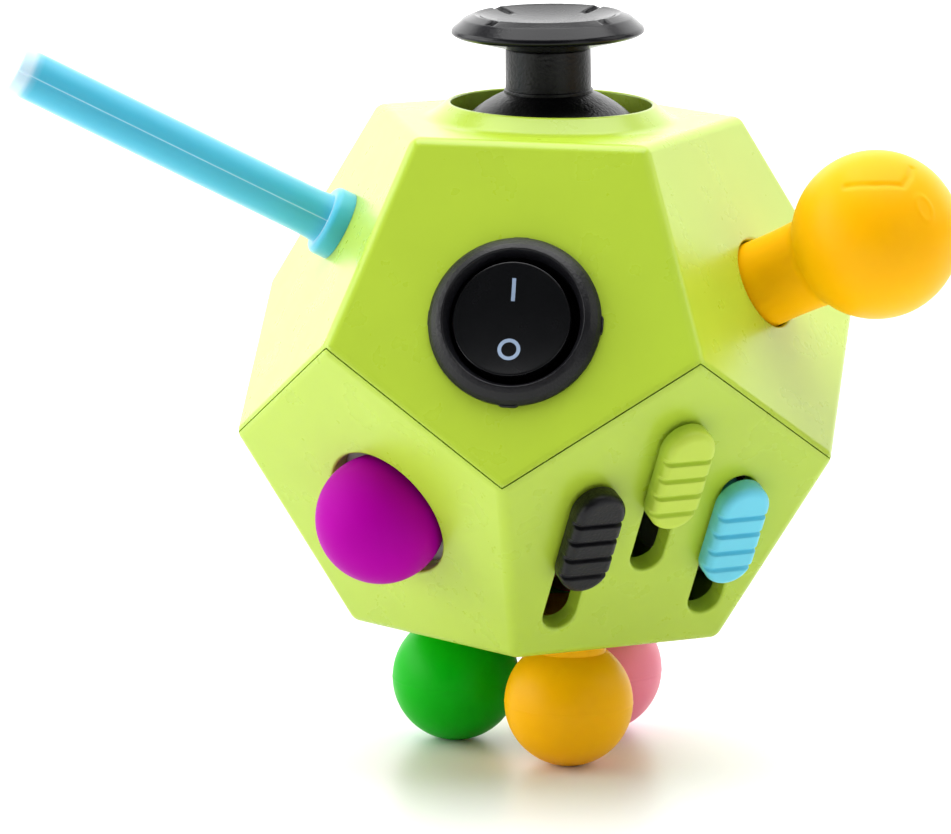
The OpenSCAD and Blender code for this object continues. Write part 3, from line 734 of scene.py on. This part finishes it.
NOTCH_START, NOTCH_HALF_W, NOTCH_DEPTH = -37, 0.42, 0.72
NOTCH_LOW_Z, NOTCH_NONE_R, NOTCH_IN_R, NOTCH_FADE = 8.9, 3.5, 4.8, 1.6
DISH_R, DISH_Z, DISH_EDGE = 24.0, 9.15, 15.6
CAP_SOCKET_R, CAP_SOCKET_Z, CAP_FOOT_Z = 2.62, 8.38, 6.82


def notched(p):
    """Sinks the four notches into the cap's upper face."""
    r = math.hypot(p.x, p.y)
    if p.z < NOTCH_LOW_Z or r < NOTCH_NONE_R:
        return p
    a = math.degrees(math.atan2(p.y, p.x)) - NOTCH_START
    across = math.radians(abs((a + 45) % 90 - 45)) * r
    fade = min(1.0, max(0.0, (r - NOTCH_IN_R) / NOTCH_FADE))
    reach = min(1.0, max(0.0, (CAP_RIM_R + 0.9 - r) / 0.45))
    p.z -= NOTCH_DEPTH * fade * math.exp(-((across / NOTCH_HALF_W) ** 4)) * reach
    return p


def make_cap():
    dish = arc((0, DISH_Z + DISH_R), DISH_R, -90, -90 + DISH_EDGE, 24)
    outer = rounded(
        [
            (CAP_RIM_R - 0.75, 9.95, 0),
            (CAP_RIM_R - 0.1, 10.17, 0.35),
            (CAP_RIM_R + 0.95, 9.72, 0.6),
            (CAP_R - 0.12, 8.75, 0.5),
            (CAP_R, 8.35, 0.25),
            (CAP_R - 0.5, 8.05, 0.3),
            (6.6, 7.5, 3.0),
            (SHAFT_R + 0.35, 6.95, 0.4),
            (SHAFT_R + 0.05, CAP_FOOT_Z, 0),
            (CAP_SOCKET_R, CAP_FOOT_Z, 0),
            (CAP_SOCKET_R, CAP_SOCKET_Z, 0),
            (0.0, CAP_SOCKET_Z, 0),
        ],
        8,
    )
    cap = Solid(STICK).lathe(dish + outer, 640, notched)
    piece("joystick_cap_skin", cap, "stick", "thumb_rubber", ["joystick_cap"])


def make_stem():
    """The dome with the shaft above it, the spring post below it, and its two pins."""
    pivot = (0, -PIVOT_DEPTH)
    step_r, top_z, tenon_r, tenon_z = SHAFT_R + 0.15, 6.8, 2.5, 8.3
    meet = math.degrees(math.acos(step_r / DOME_R))
    outside = arc(pivot, DOME_R, 10.0, meet, 36)
    step_z = outside[-1][1]
    sleeve = rounded(
        [
            (step_r, step_z, 0),
            (step_r, step_z + 0.28, 0.08),
            (SHAFT_R, step_z + 0.34, 0),
            (SHAFT_R - 0.03, top_z, 0.1),
            (tenon_r, top_z, 0),
            (tenon_r, tenon_z, 0.2),
            (0, tenon_z, 0),
        ],
        4,
    )
    inside_dome = arc(pivot, DOME_R - 1.2, meet + 10, 11.2, 24)
    stem = Solid(STICK).lathe([(0, inside_dome[0][1])] + inside_dome + outside + sleeve, 128)
    post_r, collar_r = 1.2, 3
    post = [(0, -13.0), (post_r - 0.1, -13.0), (post_r, -12.9), (post_r, -11.2)]
    post += [(collar_r, -11.2), (collar_r, -10.5), (post_r, -10.5), (post_r, -10.3)]
    hub = arc(pivot, 2.6, -62, 32, 14)
    stem.lathe(post + hub + [(2.2, -6.5), (2.2, 1.9), (0, 1.9)], 48)
    pin_profile = rounded([(0, 0, 0), (0.8, 0, 0), (0.8, 5.3, 0.15), (0, 5.3, 0)])
    for end in (1, -1):
        across = Matrix.Rotation(math.radians(90 * end), 4, "X")
        stem.join(Solid(STICK @ Matrix.Translation(TILT_CENTRE) @ across).lathe(pin_profile, 24))
    piece("joystick_dome_skin", stem, "stick", "black_plastic", ["joystick_stem"], look="shaft")


# ---------------- build: rocker switch


SADDLE_R, SADDLE_Z = 30.0, 0.7
MARK_Y, MARK_PROUD, MARK_SUNK = 2.9, 0.02, -0.1


def make_bezel():
    bore_r, skirt_r, floor_z, base_z = 6.15, 7.4, -7.5, -8.5
    profile = rounded(
        [
            (0, floor_z, 0),
            (bore_r, floor_z, 0),
            (bore_r, 0.42, 0.12),
            (6.68, 1.67, 0.14),
            (7.25, 1.37, 0.5),
            (7.82, 0.84, 0.5),
            (BEZEL_R - 0.01, 0.36, 0.2),
            (BEZEL_R, 0.0, 0),
            (skirt_r, 0.0, 0),
            (skirt_r, base_z, 0),
            (0, base_z, 0),
        ]
    )
    bezel = Solid(AT_SWITCH).lathe(profile, 160)
    for k, proud in enumerate((0.16, 0.04, 0.04, 0.16)):
        turned = AT_SWITCH @ Matrix.Rotation(math.radians(90 * k), 4, "Z")
        nub = Solid(shifted(turned, BEZEL_R + proud - 0.45, 0))
        bezel.join(nub.stack(stadium(0.9, 2.0, 8), [(0, 0), (0, 0.25), (-0.1, 0.36)]))
    piece("switch_bezel_skin", bezel, "root", "black_plastic", ["switch_bezel"])


def saddle_height(y):
    """Height of the rocker's hollow face, y up from its middle."""
    return SADDLE_R + SADDLE_Z - math.sqrt(SADDLE_R**2 - y * y)


def make_rocker():
    count, rings, floor_z = 128, 18, -2.5
    flat_r = ROCKER_R - 0.22
    rows = []
    for i in range(rings + 1):
        loop = circle(flat_r * math.sin(math.pi / 2 * i / rings), count)()
        rows.append([(x, y, saddle_height(y)) for x, y in loop])
    for out, down in ((0.16, 0.03), (0.2, 0.07), (0.22, 0.14), (0.22, 2.0), (0.22, 3.2)):
        loop = circle(flat_r + out, count)()
        rows.append([(x, y, max(floor_z, saddle_height(y) - down)) for x, y in loop])
    rows.append([(0, 0, floor_z)] * count)
    rocker = Solid(AT_ROCKER)
    rocker.grid(rows, closed=True)
    rocker.lathe([(0, -2.4), (2, -2.4), (2, -4), (1.3, -4), (1.3, -0.8), (0, -0.8)], 48)
    piece("switch_rocker_skin", rocker, "rocker", "rocker_plastic", ["switch_rocker"])


def make_switch_marks():
    """The printed bar and ring, following the rocker's hollow face."""
    half_w, half_l, ring_in, ring_out, count = 0.18, 1.08, 0.72, 1.07, 48
    steps = [half_l * (k / 6 - 1) for k in range(13)]
    bar = [(-half_w, MARK_Y + t) for t in steps] + [(half_w, MARK_Y - t) for t in steps]
    marks = Solid(AT_ROCKER)
    top = [(x, y, saddle_height(y) + MARK_PROUD) for x, y in bar]
    low = [(x, y, saddle_height(y) + MARK_SUNK) for x, y in bar]
    marks.grid([low, top], closed=True)
    marks.cap(top)
    marks.cap(low)
    section = ((ring_in, MARK_SUNK), (ring_in, MARK_PROUD), (ring_out, MARK_PROUD), (ring_out, MARK_SUNK))
    rows = []
    for r, lift in (*section, section[0]):
        loop = moved(circle(r, count), 0, -MARK_Y)()
        rows.append([(x, y, saddle_height(y) + lift) for x, y in loop])
    marks.grid(rows, closed=True)
    piece("switch_marks", marks, "rocker", "rocker_plastic", look="print")


# ---------------- build: sliders


GROOVES = [2.4 - 2.0 * g for g in range(4)]


def knob_solid(matrix):
    """A stadium knob with a rounded rim and grooves across it, and its stem through the slot."""
    half_w, rim = KNOB_W / 2, 0.75
    groove_half_w, groove_slope, groove_depth = 0.36, 0.26, 0.42
    straight = (KNOB_L - KNOB_W) / 2

    def height(x, y):
        depth_in = half_w - math.hypot(x, max(0.0, abs(y) - straight))
        z = KNOB_H
        if depth_in < rim:
            z -= rim - math.sqrt(max(0.0, rim**2 - (rim - depth_in) ** 2))
        for groove in GROOVES:
            share = min(1.0, max(0.0, (groove_half_w - abs(y - groove)) / groove_slope))
            z -= groove_depth * share * share * (3 - 2 * share)
        return z

    end, middle, across = 48, 140, 32
    round_end = [half_w * math.cos(math.pi / 2 * k / end) for k in range(end)]
    places = [-straight - over for over in round_end]
    places += [straight * (2 * k / middle - 1) for k in range(middle + 1)]
    places += [straight + over for over in reversed(round_end)]
    rows = []
    for y in places:
        over = max(0.0, abs(y) - straight)
        reach = math.sqrt(max(0.0, half_w**2 - over**2))
        xs = [-reach * math.cos(math.pi * c / across) for c in range(across + 1)]
        rows.append([(x, y, height(x, y)) for x in xs])
    solid = Solid(matrix)
    solid.grid(rows)
    border = [r[-1] for r in rows] + [r[0] for r in reversed(rows)]
    foot = [(x, y, KNOB_Z + 0.12) for x, y, _ in border]
    sole = [(x * 0.95, y * 0.978, KNOB_Z) for x, y, _ in border]
    solid.grid([border, foot, sole], closed=True)
    solid.cap(sole)
    stem = Solid(matrix).stack(stadium(SLOT_W - 0.3, 8.0, 12), [(0, KNOB_Z + 0.1), (0, -2.2)])
    return solid.join(stem)


def make_sliders():
    looks = {"black": "black_plastic", "green": "lime_plastic", "blue": "blue_plastic"}
    for name, slot in looks.items():
        x, _, y = SLOTS[name]
        solid = knob_solid(shifted(SLIDERS, x, y))
        body, node = f"slider_{name}", f"slider_knob_{name}"
        piece(f"slider_{name}_skin", solid, body, slot, [node], sharp=60)


# ---------------- build: silicone parts


def ball_profile(radius, centre_z, start=-90, stop=90, steps=72, line=0.0):
    """Profile of a ball, with a fine raised parting line round its middle."""
    angles = [start + (stop - start) * i / steps for i in range(steps + 1)]
    if line:
        angles = sorted(angles + [-2.4, -1.4, -0.8, 0.8, 1.4, 2.4])
    profile = []
    for a in angles:
        x, z = polar(radius + (line if abs(a) <= 0.9 else 0), a)
        profile.append((max(0.0, x), centre_z + z))
    return profile


def make_press_ball():
    solid = Solid(AT_PRESS).lathe(ball_profile(PRESS_R, PRESS_OUT), 128)
    piece("press_ball_skin", solid, "press", "purple_silicone", ["press_ball"])


# Moulded details of the bulb, on its ball, from the ball's middle: a fold and a small oval ring
FOLD = [
    Vector((-5.9, 5.1, 1.7)),
    Vector((-5.3, 4.15, 4.3)),
    Vector((-3.9, 3.1, 6.3)),
    Vector((-2.5, 3.7, 6.65)),
    Vector((-1.2, 4.35, 6.6)),
]
FOLD_DEPTH, FOLD_HALF_W = 0.16, 0.3
OVAL_AT, OVAL_HALF, OVAL_RISE = Vector((-3.4, 0.35, 7.2)), (0.75, 1.25), 0.07


def from_fold(p):
    """How far a point lies from the fold."""
    found = []
    for a, b in zip(FOLD, FOLD[1:]):
        share = min(1.0, max(0.0, (p - a).dot(b - a) / (b - a).length_squared))
        found.append((p - a.lerp(b, share)).length)
    return min(found)


def bulb_detail(p):
    """Presses the fold into the ball and raises the oval ring."""
    ball = p - Vector((0, 0, BULB_OUT))
    if ball.z < 0 or ball.length < 0.9 * BULB_R:
        return p
    move = -FOLD_DEPTH * math.exp(-((from_fold(ball) / FOLD_HALF_W) ** 2))
    away = ball - OVAL_AT
    if away.length < 2.5:
        along = away.y
        across = math.copysign(math.hypot(away.x, away.z), away.x)
        ring_at = math.hypot(across / OVAL_HALF[0], along / OVAL_HALF[1])
        move += OVAL_RISE * math.exp(-(((ring_at - 1) / 0.3) ** 2))
    return p + ball.normalized() * move


def make_bulb():
    blend_r = 1.5
    fillet_z = BULB_OUT - math.sqrt((BULB_R + blend_r) ** 2 - (NECK_R + blend_r) ** 2)
    lean = math.degrees(math.atan2(BULB_OUT - fillet_z, NECK_R + blend_r))
    flange_r, waist, waist_z = 5.95, 0.12, -1.8
    neck = [(0, ROOT_Z), (flange_r, ROOT_Z), (flange_r, FLANGE_Z), (NECK_R, FLANGE_NECK_Z)]
    for k in range(9):
        neck.append((NECK_R - waist * math.sin(math.pi * k / 8), waist_z + (fillet_z - waist_z) * k / 8))
    fillet = arc((NECK_R + blend_r, fillet_z), blend_r, 180, 180 - lean, 8)[1:]
    ball = ball_profile(BULB_R, BULB_OUT, -lean, 90, 160)[1:]
    solid = Solid(AT_BULB).lathe(neck + fillet + ball, 256, bulb_detail)
    obj = piece("punch_bulb_skin", solid, None, "yellow_silicone", ["punch_bulb", "bulb_plug"])
    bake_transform(obj)


TUBE_LINES = (4, 184)
# Painted highlight: how much paler the tube is painted along its two moulding lines and at its tip, where these
# catch light
LINE_START_Z, LINE_RISE, LINE_HALF_W, LINE_HIGHLIGHT, LINE_HIGHLIGHT_W = 2.3, 0.06, 2.2, 0.45, 1.5
TIP_L, TIP_FADE, TIP_HIGHLIGHT = 1.9, 0.9, 0.8


def off_line(p):
    """Degrees round the tube from a point to the nearer of its two moulding lines."""
    a = math.degrees(math.atan2(p.y, p.x))
    return min(abs((a - line + 180) % 360 - 180) for line in TUBE_LINES)


def painted_highlight(p):
    """Painted highlight on the tube's silicone: paler at its tip, where the end catches light, and along its two
    moulding lines, where the ridges catch light.
    """
    tip = min(1.0, max(0.0, (p.z - TUBE_L + TIP_L) / TIP_FADE))
    line = LINE_HIGHLIGHT if off_line(p) < LINE_HIGHLIGHT_W and p.z > TUBE_COLLAR_H else 0.0
    return max(TIP_HIGHLIGHT * tip * tip * (3 - 2 * tip), line)


def moulding_line(p):
    """Raises the two moulding lines along the tube."""
    if p.z > LINE_START_Z:
        a = math.atan2(p.y, p.x)
        rise = LINE_RISE * math.exp(-((off_line(p) / LINE_HALF_W) ** 2))
        p.x += rise * math.cos(a)
        p.y += rise * math.sin(a)
    return p


def make_tube():
    flange_r, bore_r, wall_z = 4.15, TUBE_COLLAR_R - 0.55, 0.02
    length = TUBE_L - TUBE_COLLAR_H
    profile = [(0, ROOT_Z), (flange_r, ROOT_Z), (flange_r, FLANGE_Z), (bore_r, FLANGE_NECK_Z)]
    profile += [(bore_r, wall_z)]
    collar = [(TUBE_COLLAR_R, wall_z, 0), (TUBE_COLLAR_R, TUBE_COLLAR_H, 0.6)]
    profile += rounded(collar + [(TUBE_R + 0.15, TUBE_COLLAR_H, 0)])
    profile += [(TUBE_R + 0.12 * math.exp(-k * 0.9), TUBE_COLLAR_H + length * k / 60) for k in range(60)]
    profile += rounded([(TUBE_R, TUBE_L - 0.4, 0), (TUBE_R, TUBE_L, 0.22), (0, TUBE_L, 0)])
    solid = Solid(AT_TUBE).lathe(profile, 180, moulding_line)
    obj = piece("pull_tube_skin", solid, None, "blue_silicone", ["pull_tube", "tube_grommet"])
    # Painted highlight: a per-point share of the pale colour, on the tip and the moulding lines
    highlight_paint = obj.data.attributes.new("painted_highlight", "FLOAT", "POINT")
    inward = AT_TUBE.inverted()
    for value, vertex in zip(highlight_paint.data, obj.data.vertices):
        value.value = painted_highlight(inward @ (vertex.co / MM))
    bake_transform(obj)


def make_feet():
    floor_z = FOOT_R - FOOT_FLAT
    flat_r = math.sqrt(FOOT_R**2 - floor_z**2)
    start = -math.degrees(math.acos(flat_r / FOOT_R))
    neck_r, flange_r, flange_h = 3.5, 4.95, 1.15
    stop = math.degrees(math.acos(neck_r / FOOT_R))
    top = FOOT_DROP + WALL
    profile = [(0, -floor_z)] + ball_profile(FOOT_R, 0, start, stop, 72, 0.02)
    profile += [(neck_r, top), (flange_r, top), (flange_r, top + flange_h), (0, top + flange_h)]
    for name, place in FOOT_PLACES.items():
        slot = f"{name}_silicone"
        solid = Solid(Matrix.Translation((*place, floor_z))).lathe(profile, 128)
        piece(f"foot_{name}_skin", solid, "root", slot, [f"foot_ball_{name}"])


# ---------------- build: dial, gears, spinner, buttons, pad


def rivet_solid(matrix, bearing_r, head_r, floor_z, head_z, head_h):
    """A rivet with a low domed head, from behind its cup to the head's crown."""
    crown = [(head_r * math.cos(math.radians(a)), head_z + head_h * (0.35 + 0.65 * math.sin(math.radians(a))))
             for a in range(0, 91, 10)]
    profile = [(0, floor_z), (bearing_r, floor_z), (bearing_r, head_z), (head_r - 0.1, head_z)]
    return Solid(matrix).lathe(profile + [(head_r, head_z + 0.1)] + crown[1:], 64)


def make_dial():
    ribs, rib_depth, dial_r, top = 24, 0.33, 8.9, 1.2
    rib_in_r, rib_fade = 8.2, 0.6
    dimple_r, dimple_y, dimple_z, dimple_soft = 6.0, 4.9, 6.4, 0.012

    def worked(p):
        r, a = math.hypot(p.x, p.y), math.atan2(p.y, p.x)
        if r > rib_in_r:
            fade = min(1.0, (r - rib_in_r) / rib_fade)
            r_new = r - rib_depth * (0.5 + 0.5 * math.cos(ribs * a)) ** 3 * fade
            p.x, p.y = p.x * r_new / r, p.y * r_new / r
        near = math.hypot(p.x, p.y - dimple_y)
        if p.z > top - 0.05 and near < dimple_r:
            bowl = dimple_z - math.sqrt(dimple_r**2 - near**2)
            p.z -= 0.5 * (p.z - bowl + math.sqrt((p.z - bowl) ** 2 + dimple_soft))
        return p

    flat = [(2.7 + 5.6 * k / 56, top) for k in range(57)]
    rim = [(dial_r - 0.45 + 0.45 * math.sin(math.radians(a)), top - 0.45 + 0.45 * math.cos(math.radians(a)))
           for a in range(0, 91, 15)]
    profile = [(1.55, -3.2), (1.55, 0.6), (2.5, 0.6), (2.6, 0.7), (2.6, 1.1)]
    profile += flat + rim + [(dial_r, -3.2), (1.55, -3.2)]
    solid = Solid(DIAL).lathe(profile, 288, worked)
    piece("dial_disc_skin", solid, "dial", "dial_plastic", ["dial_disc"], sharp=50)
    rivet = rivet_solid(DIAL, 1.5, 2.4, -3.4, 0.8, 0.5)
    piece("dial_rivet_skin", rivet, "root", "spring_steel", ["dial_rivet"])


def gear_loop(turn):
    """The toothed outline, in the proportions of the CAD gear."""
    inner, outer = GEAR_PITCH_R - 1.15 * GEAR_MODULE, GEAR_PITCH_R + 0.9 * GEAR_MODULE
    pitch, backlash, narrowing = 360 / GEAR_TEETH, 1.1, 5.2
    loop = []
    for tooth in range(GEAR_TEETH):
        for side, radii in ((-1, (inner, GEAR_PITCH_R, outer)), (1, (outer, GEAR_PITCH_R, inner))):
            for r in radii:
                half = pitch / 4 - backlash - (r - GEAR_PITCH_R) * narrowing
                loop.append(polar(r, turn + tooth * pitch + side * half))
    return loop


def make_gears():
    looks = {"left": (-1, 0, "orange_plastic"), "right": (1, 180 / GEAR_TEETH, "violet_plastic")}
    for name, (side, turn, slot) in looks.items():
        matrix = shifted(GEARS, side * GEAR_PITCH_R, 0)
        bore = circle(1.25, 48)
        solid = plate(matrix, grown(gear_loop(turn)), [(bore, None)], 0.2, -2.4, 0.14)
        pits = [(moved(circle(0.45, 20), x, y), 0.2) for x, y in on_spokes(4, 45, 2.15)]
        solid.join(plate(matrix, circle(2.9, 96), [(bore, None), *pits], 0.5, -2.9, 0.16))
        piece(f"gear_{name}_skin", solid, f"gear_{name}", slot, [f"gear_{name}"])
    pins = Solid()
    for side in (-1, 1):
        pins.join(rivet_solid(shifted(GEARS, side * GEAR_PITCH_R, 0), 1.2, 2.0, -3.2, 0.7, 0.4))
    piece("gear_pins_skin", pins, "root", "spring_steel", ["gear_pins"])


def make_spinner():
    lobe_at, lobe_r, hub_r = 5.9, 3.2, 3.6

    def reach(a):
        """How far the rotor's edge lies from its middle, in the direction a."""
        off = abs((a - 90 + 60) % 120 - 60)
        side = lobe_at * math.sin(math.radians(off))
        found = hub_r
        if side < lobe_r:
            found = max(found, lobe_at * math.cos(math.radians(off)) + math.sqrt(lobe_r**2 - side**2))
        return found

    loop = [polar(reach(1.5 * k), 1.5 * k) for k in range(240)]
    holes = [(moved(circle(1.7, 48), x, y), None) for x, y in on_spokes(3, 90, lobe_at)]
    bore = (circle(1.25, 48), None)
    solid = plate(SPINNER, grown(loop), [bore, *holes], 0.2, -2.6, 0.3)
    solid.join(plate(SPINNER, circle(hub_r, 96), [bore], 0.6, -3.0, 0.3))
    piece("spinner_rotor_skin", solid, "spinner", "red_plastic", ["spinner_rotor"])
    pin = rivet_solid(SPINNER, 1.2, 2.2, -3.4, 0.8, 0.5)
    piece("spinner_pin_skin", pin, "root", "spring_steel", ["spinner_pin"])


def make_buttons():
    looks = {"a": "red_plastic", "b": "yellow_plastic", "c": "dial_plastic"}
    crown_r = 9.0
    edge = math.degrees(math.asin((BUTTON_R - 0.25) / crown_r))
    crown = arc((0, BUTTON_PROUD - crown_r), crown_r, 90 - edge, 90, 12)
    wall_top = crown[0][1] - 0.25
    corner = arc((BUTTON_R - 0.25, wall_top), 0.25, 0, 80, 5)
    profile = [(0, -5.2), (1.2, -5.2), (1.2, -3.1), (4, -3.1), (4, -2.1), (BUTTON_R, -2.1)]
    for name, slot in looks.items():
        solid = Solid(shifted(BUTTON_FACE, *BUTTON_PLACES[name])).lathe(profile + corner + crown, 96)
        piece(f"button_{name}_skin", solid, f"button_{name}", slot, [f"button_{name}"])


def make_worry_pad():
    dish_r, dish_z, pad_r = 46.0, -0.7, 9.4
    dish = [(pad_r - 0.35) * k / 24 for k in range(25)]
    profile = [(r, dish_z + dish_r - math.sqrt(dish_r**2 - r * r)) for r in dish]
    profile += arc((pad_r - 0.3, 0.0), 0.28, 80, 0, 6) + [(pad_r, -0.2), (pad_r, -1.19), (0, -1.19)]
    solid = Solid(WORRY).lathe(profile, 128)
    piece("worry_pad_skin", solid, "root", "violet_silicone", ["worry_pad"])


# ---------------- build: the springs under the press ball and the buttons


def coil_solid(matrix, radius, wire, z0, z1, turns):
    """A round wire wound round z between two heights."""
    solid = Solid(matrix)
    steps, around = 36 * turns, 12
    rise = z1 - z0 - 2 * wire
    rows = []
    for i in range(steps + 1):
        a = 2 * math.pi * turns * i / steps
        outward = Vector((math.cos(a), math.sin(a), 0))
        middle = outward * radius + Vector((0, 0, z0 + wire + rise * i / steps))
        ring_points = []
        for k in range(around):
            b = 2 * math.pi * k / around
            ring_points.append(middle + outward * (wire * math.cos(b)) + Vector((0, 0, wire * math.sin(b))))
        rows.append(ring_points)
    solid.grid(rows, closed=True)
    solid.cap(rows[0])
    solid.cap(rows[-1])
    return solid


def make_springs():
    springs = [("press_spring", AT_PRESS, 6.8, 0.3, -9.6, -3.4, "press_ball_push")]
    for name, place in BUTTON_PLACES.items():
        at = shifted(BUTTON_FACE, *place)
        springs.append((f"button_spring_{name}", at, 2.2, 0.25, -7.2, -3.1, f"button_{name}_push"))
    for node, at, radius, wire, z0, z1, joint in springs:
        solid = coil_solid(at, radius, wire, z0, z1, 4)
        obj = piece(f"{node}_skin", solid, "root", "spring_steel", [node])
        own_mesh(obj)


# ---------------- build: stage, light and camera


def make_floor():
    mesh = bpy.data.meshes.new("floor")
    half = 6.0
    corners = [(x * half, y * half, 0) for x, y in ((-1, -1), (1, -1), (1, 1), (-1, 1))]
    mesh.from_pydata(corners, [], [(0, 1, 2, 3)])
    floor = bpy.data.objects.new("floor", mesh)
    bpy.context.scene.collection.objects.link(floor)
    material = bpy.data.materials.new("floor_paint")
    material.use_nodes = True
    shader = material.node_tree.nodes["Principled BSDF"]
    shader.inputs["Base Color"].default_value = (0.9, 0.9, 0.9, 1)
    shader.inputs["Roughness"].default_value = 0.35
    shader.inputs["Specular IOR Level"].default_value = 0.35
    mesh.materials.append(material)


# Studio light: a dim room and soft panels (name, place, size, radiance), in metres
WORLD = 0.04
PANELS = (
    ("backdrop", (0.0, 1.15, 0.5), (3.0, 1.2), 2.1),
    ("left", (-0.95, 0.05, 0.45), (0.9, 0.8), 3.4),
    ("left_low", (-0.8, -0.45, 0.2), (0.7, 0.35), 2.9),
    ("overhead", (0.0, 0.1, 1.0), (1.2, 1.0), 4.4),
    ("right", (0.9, 0.1, 0.5), (0.6, 0.6), 1.9),
    ("front_right", (0.75, -0.75, 0.3), (0.5, 0.4), 1.6),
)


def area_light(name, location, target, size, power):
    light = bpy.data.lights.new(name, "AREA")
    light.shape = "RECTANGLE"
    light.size, light.size_y = size
    light.energy = power
    obj = bpy.data.objects.new(name, light)
    obj.location = location
    aim = Vector(target) - Vector(location)
    obj.rotation_euler = aim.to_track_quat("-Z", "Y").to_euler()
    bpy.context.scene.collection.objects.link(obj)


def make_light():
    scene = bpy.context.scene
    scene.view_settings.view_transform = "Standard"
    scene.view_settings.look = "None"
    world = bpy.data.worlds.new("studio")
    world.use_nodes = True
    background = world.node_tree.nodes["Background"]
    background.inputs["Color"].default_value = (1, 1, 1, 1)
    background.inputs["Strength"].default_value = WORLD
    scene.world = world
    middle = CENTRE * MM
    for name, location, size, radiance in PANELS:
        area_light(name, location, middle, size, radiance * math.pi * size[0] * size[1])


# The camera's place from the toy's centre, and its axes to the right, up and back
CAMERA_FROM_CENTRE = Vector((88.07, -664.50, 127.12))
CAMERA_RIGHT = Vector((0.989396, 0.144420, 0.015458))
CAMERA_UP = Vector((-0.042909, 0.188947, 0.981049))
CAMERA_BACK = Vector((0.138763, -0.971309, 0.193140))
CAMERA_LENS_MM = 267.5


def make_camera():
    data = bpy.data.cameras.new("camera")
    data.sensor_width = 36
    data.lens = CAMERA_LENS_MM
    data.clip_start = 0.05
    data.clip_end = 30
    camera = bpy.data.objects.new("camera", data)
    matrix = Matrix((CAMERA_RIGHT, CAMERA_UP, CAMERA_BACK)).transposed().to_4x4()
    matrix.translation = (CENTRE + CAMERA_FROM_CENTRE) * MM
    camera.matrix_world = matrix
    bpy.context.scene.collection.objects.link(camera)
    bpy.context.scene.camera = camera


def dress_cad_nodes():
    """Gives each CAD node the material of its slot."""
    slots = {s["node"]: s["material_slot"] for s in frame["record"]["subparts"]}
    for name, obj in frame["nodes"].items():
        obj.data.materials.clear()
        obj.data.materials.append(MATERIALS[slots[name]])


make_camera()
make_light()
make_floor()
dress_cad_nodes()
make_shells()
make_cap()
make_stem()
make_bezel()
make_rocker()
make_switch_marks()
make_sliders()
make_press_ball()
make_bulb()
make_tube()
make_feet()
make_dial()
make_gears()
make_spinner()
make_buttons()
make_worry_pad()
make_springs()
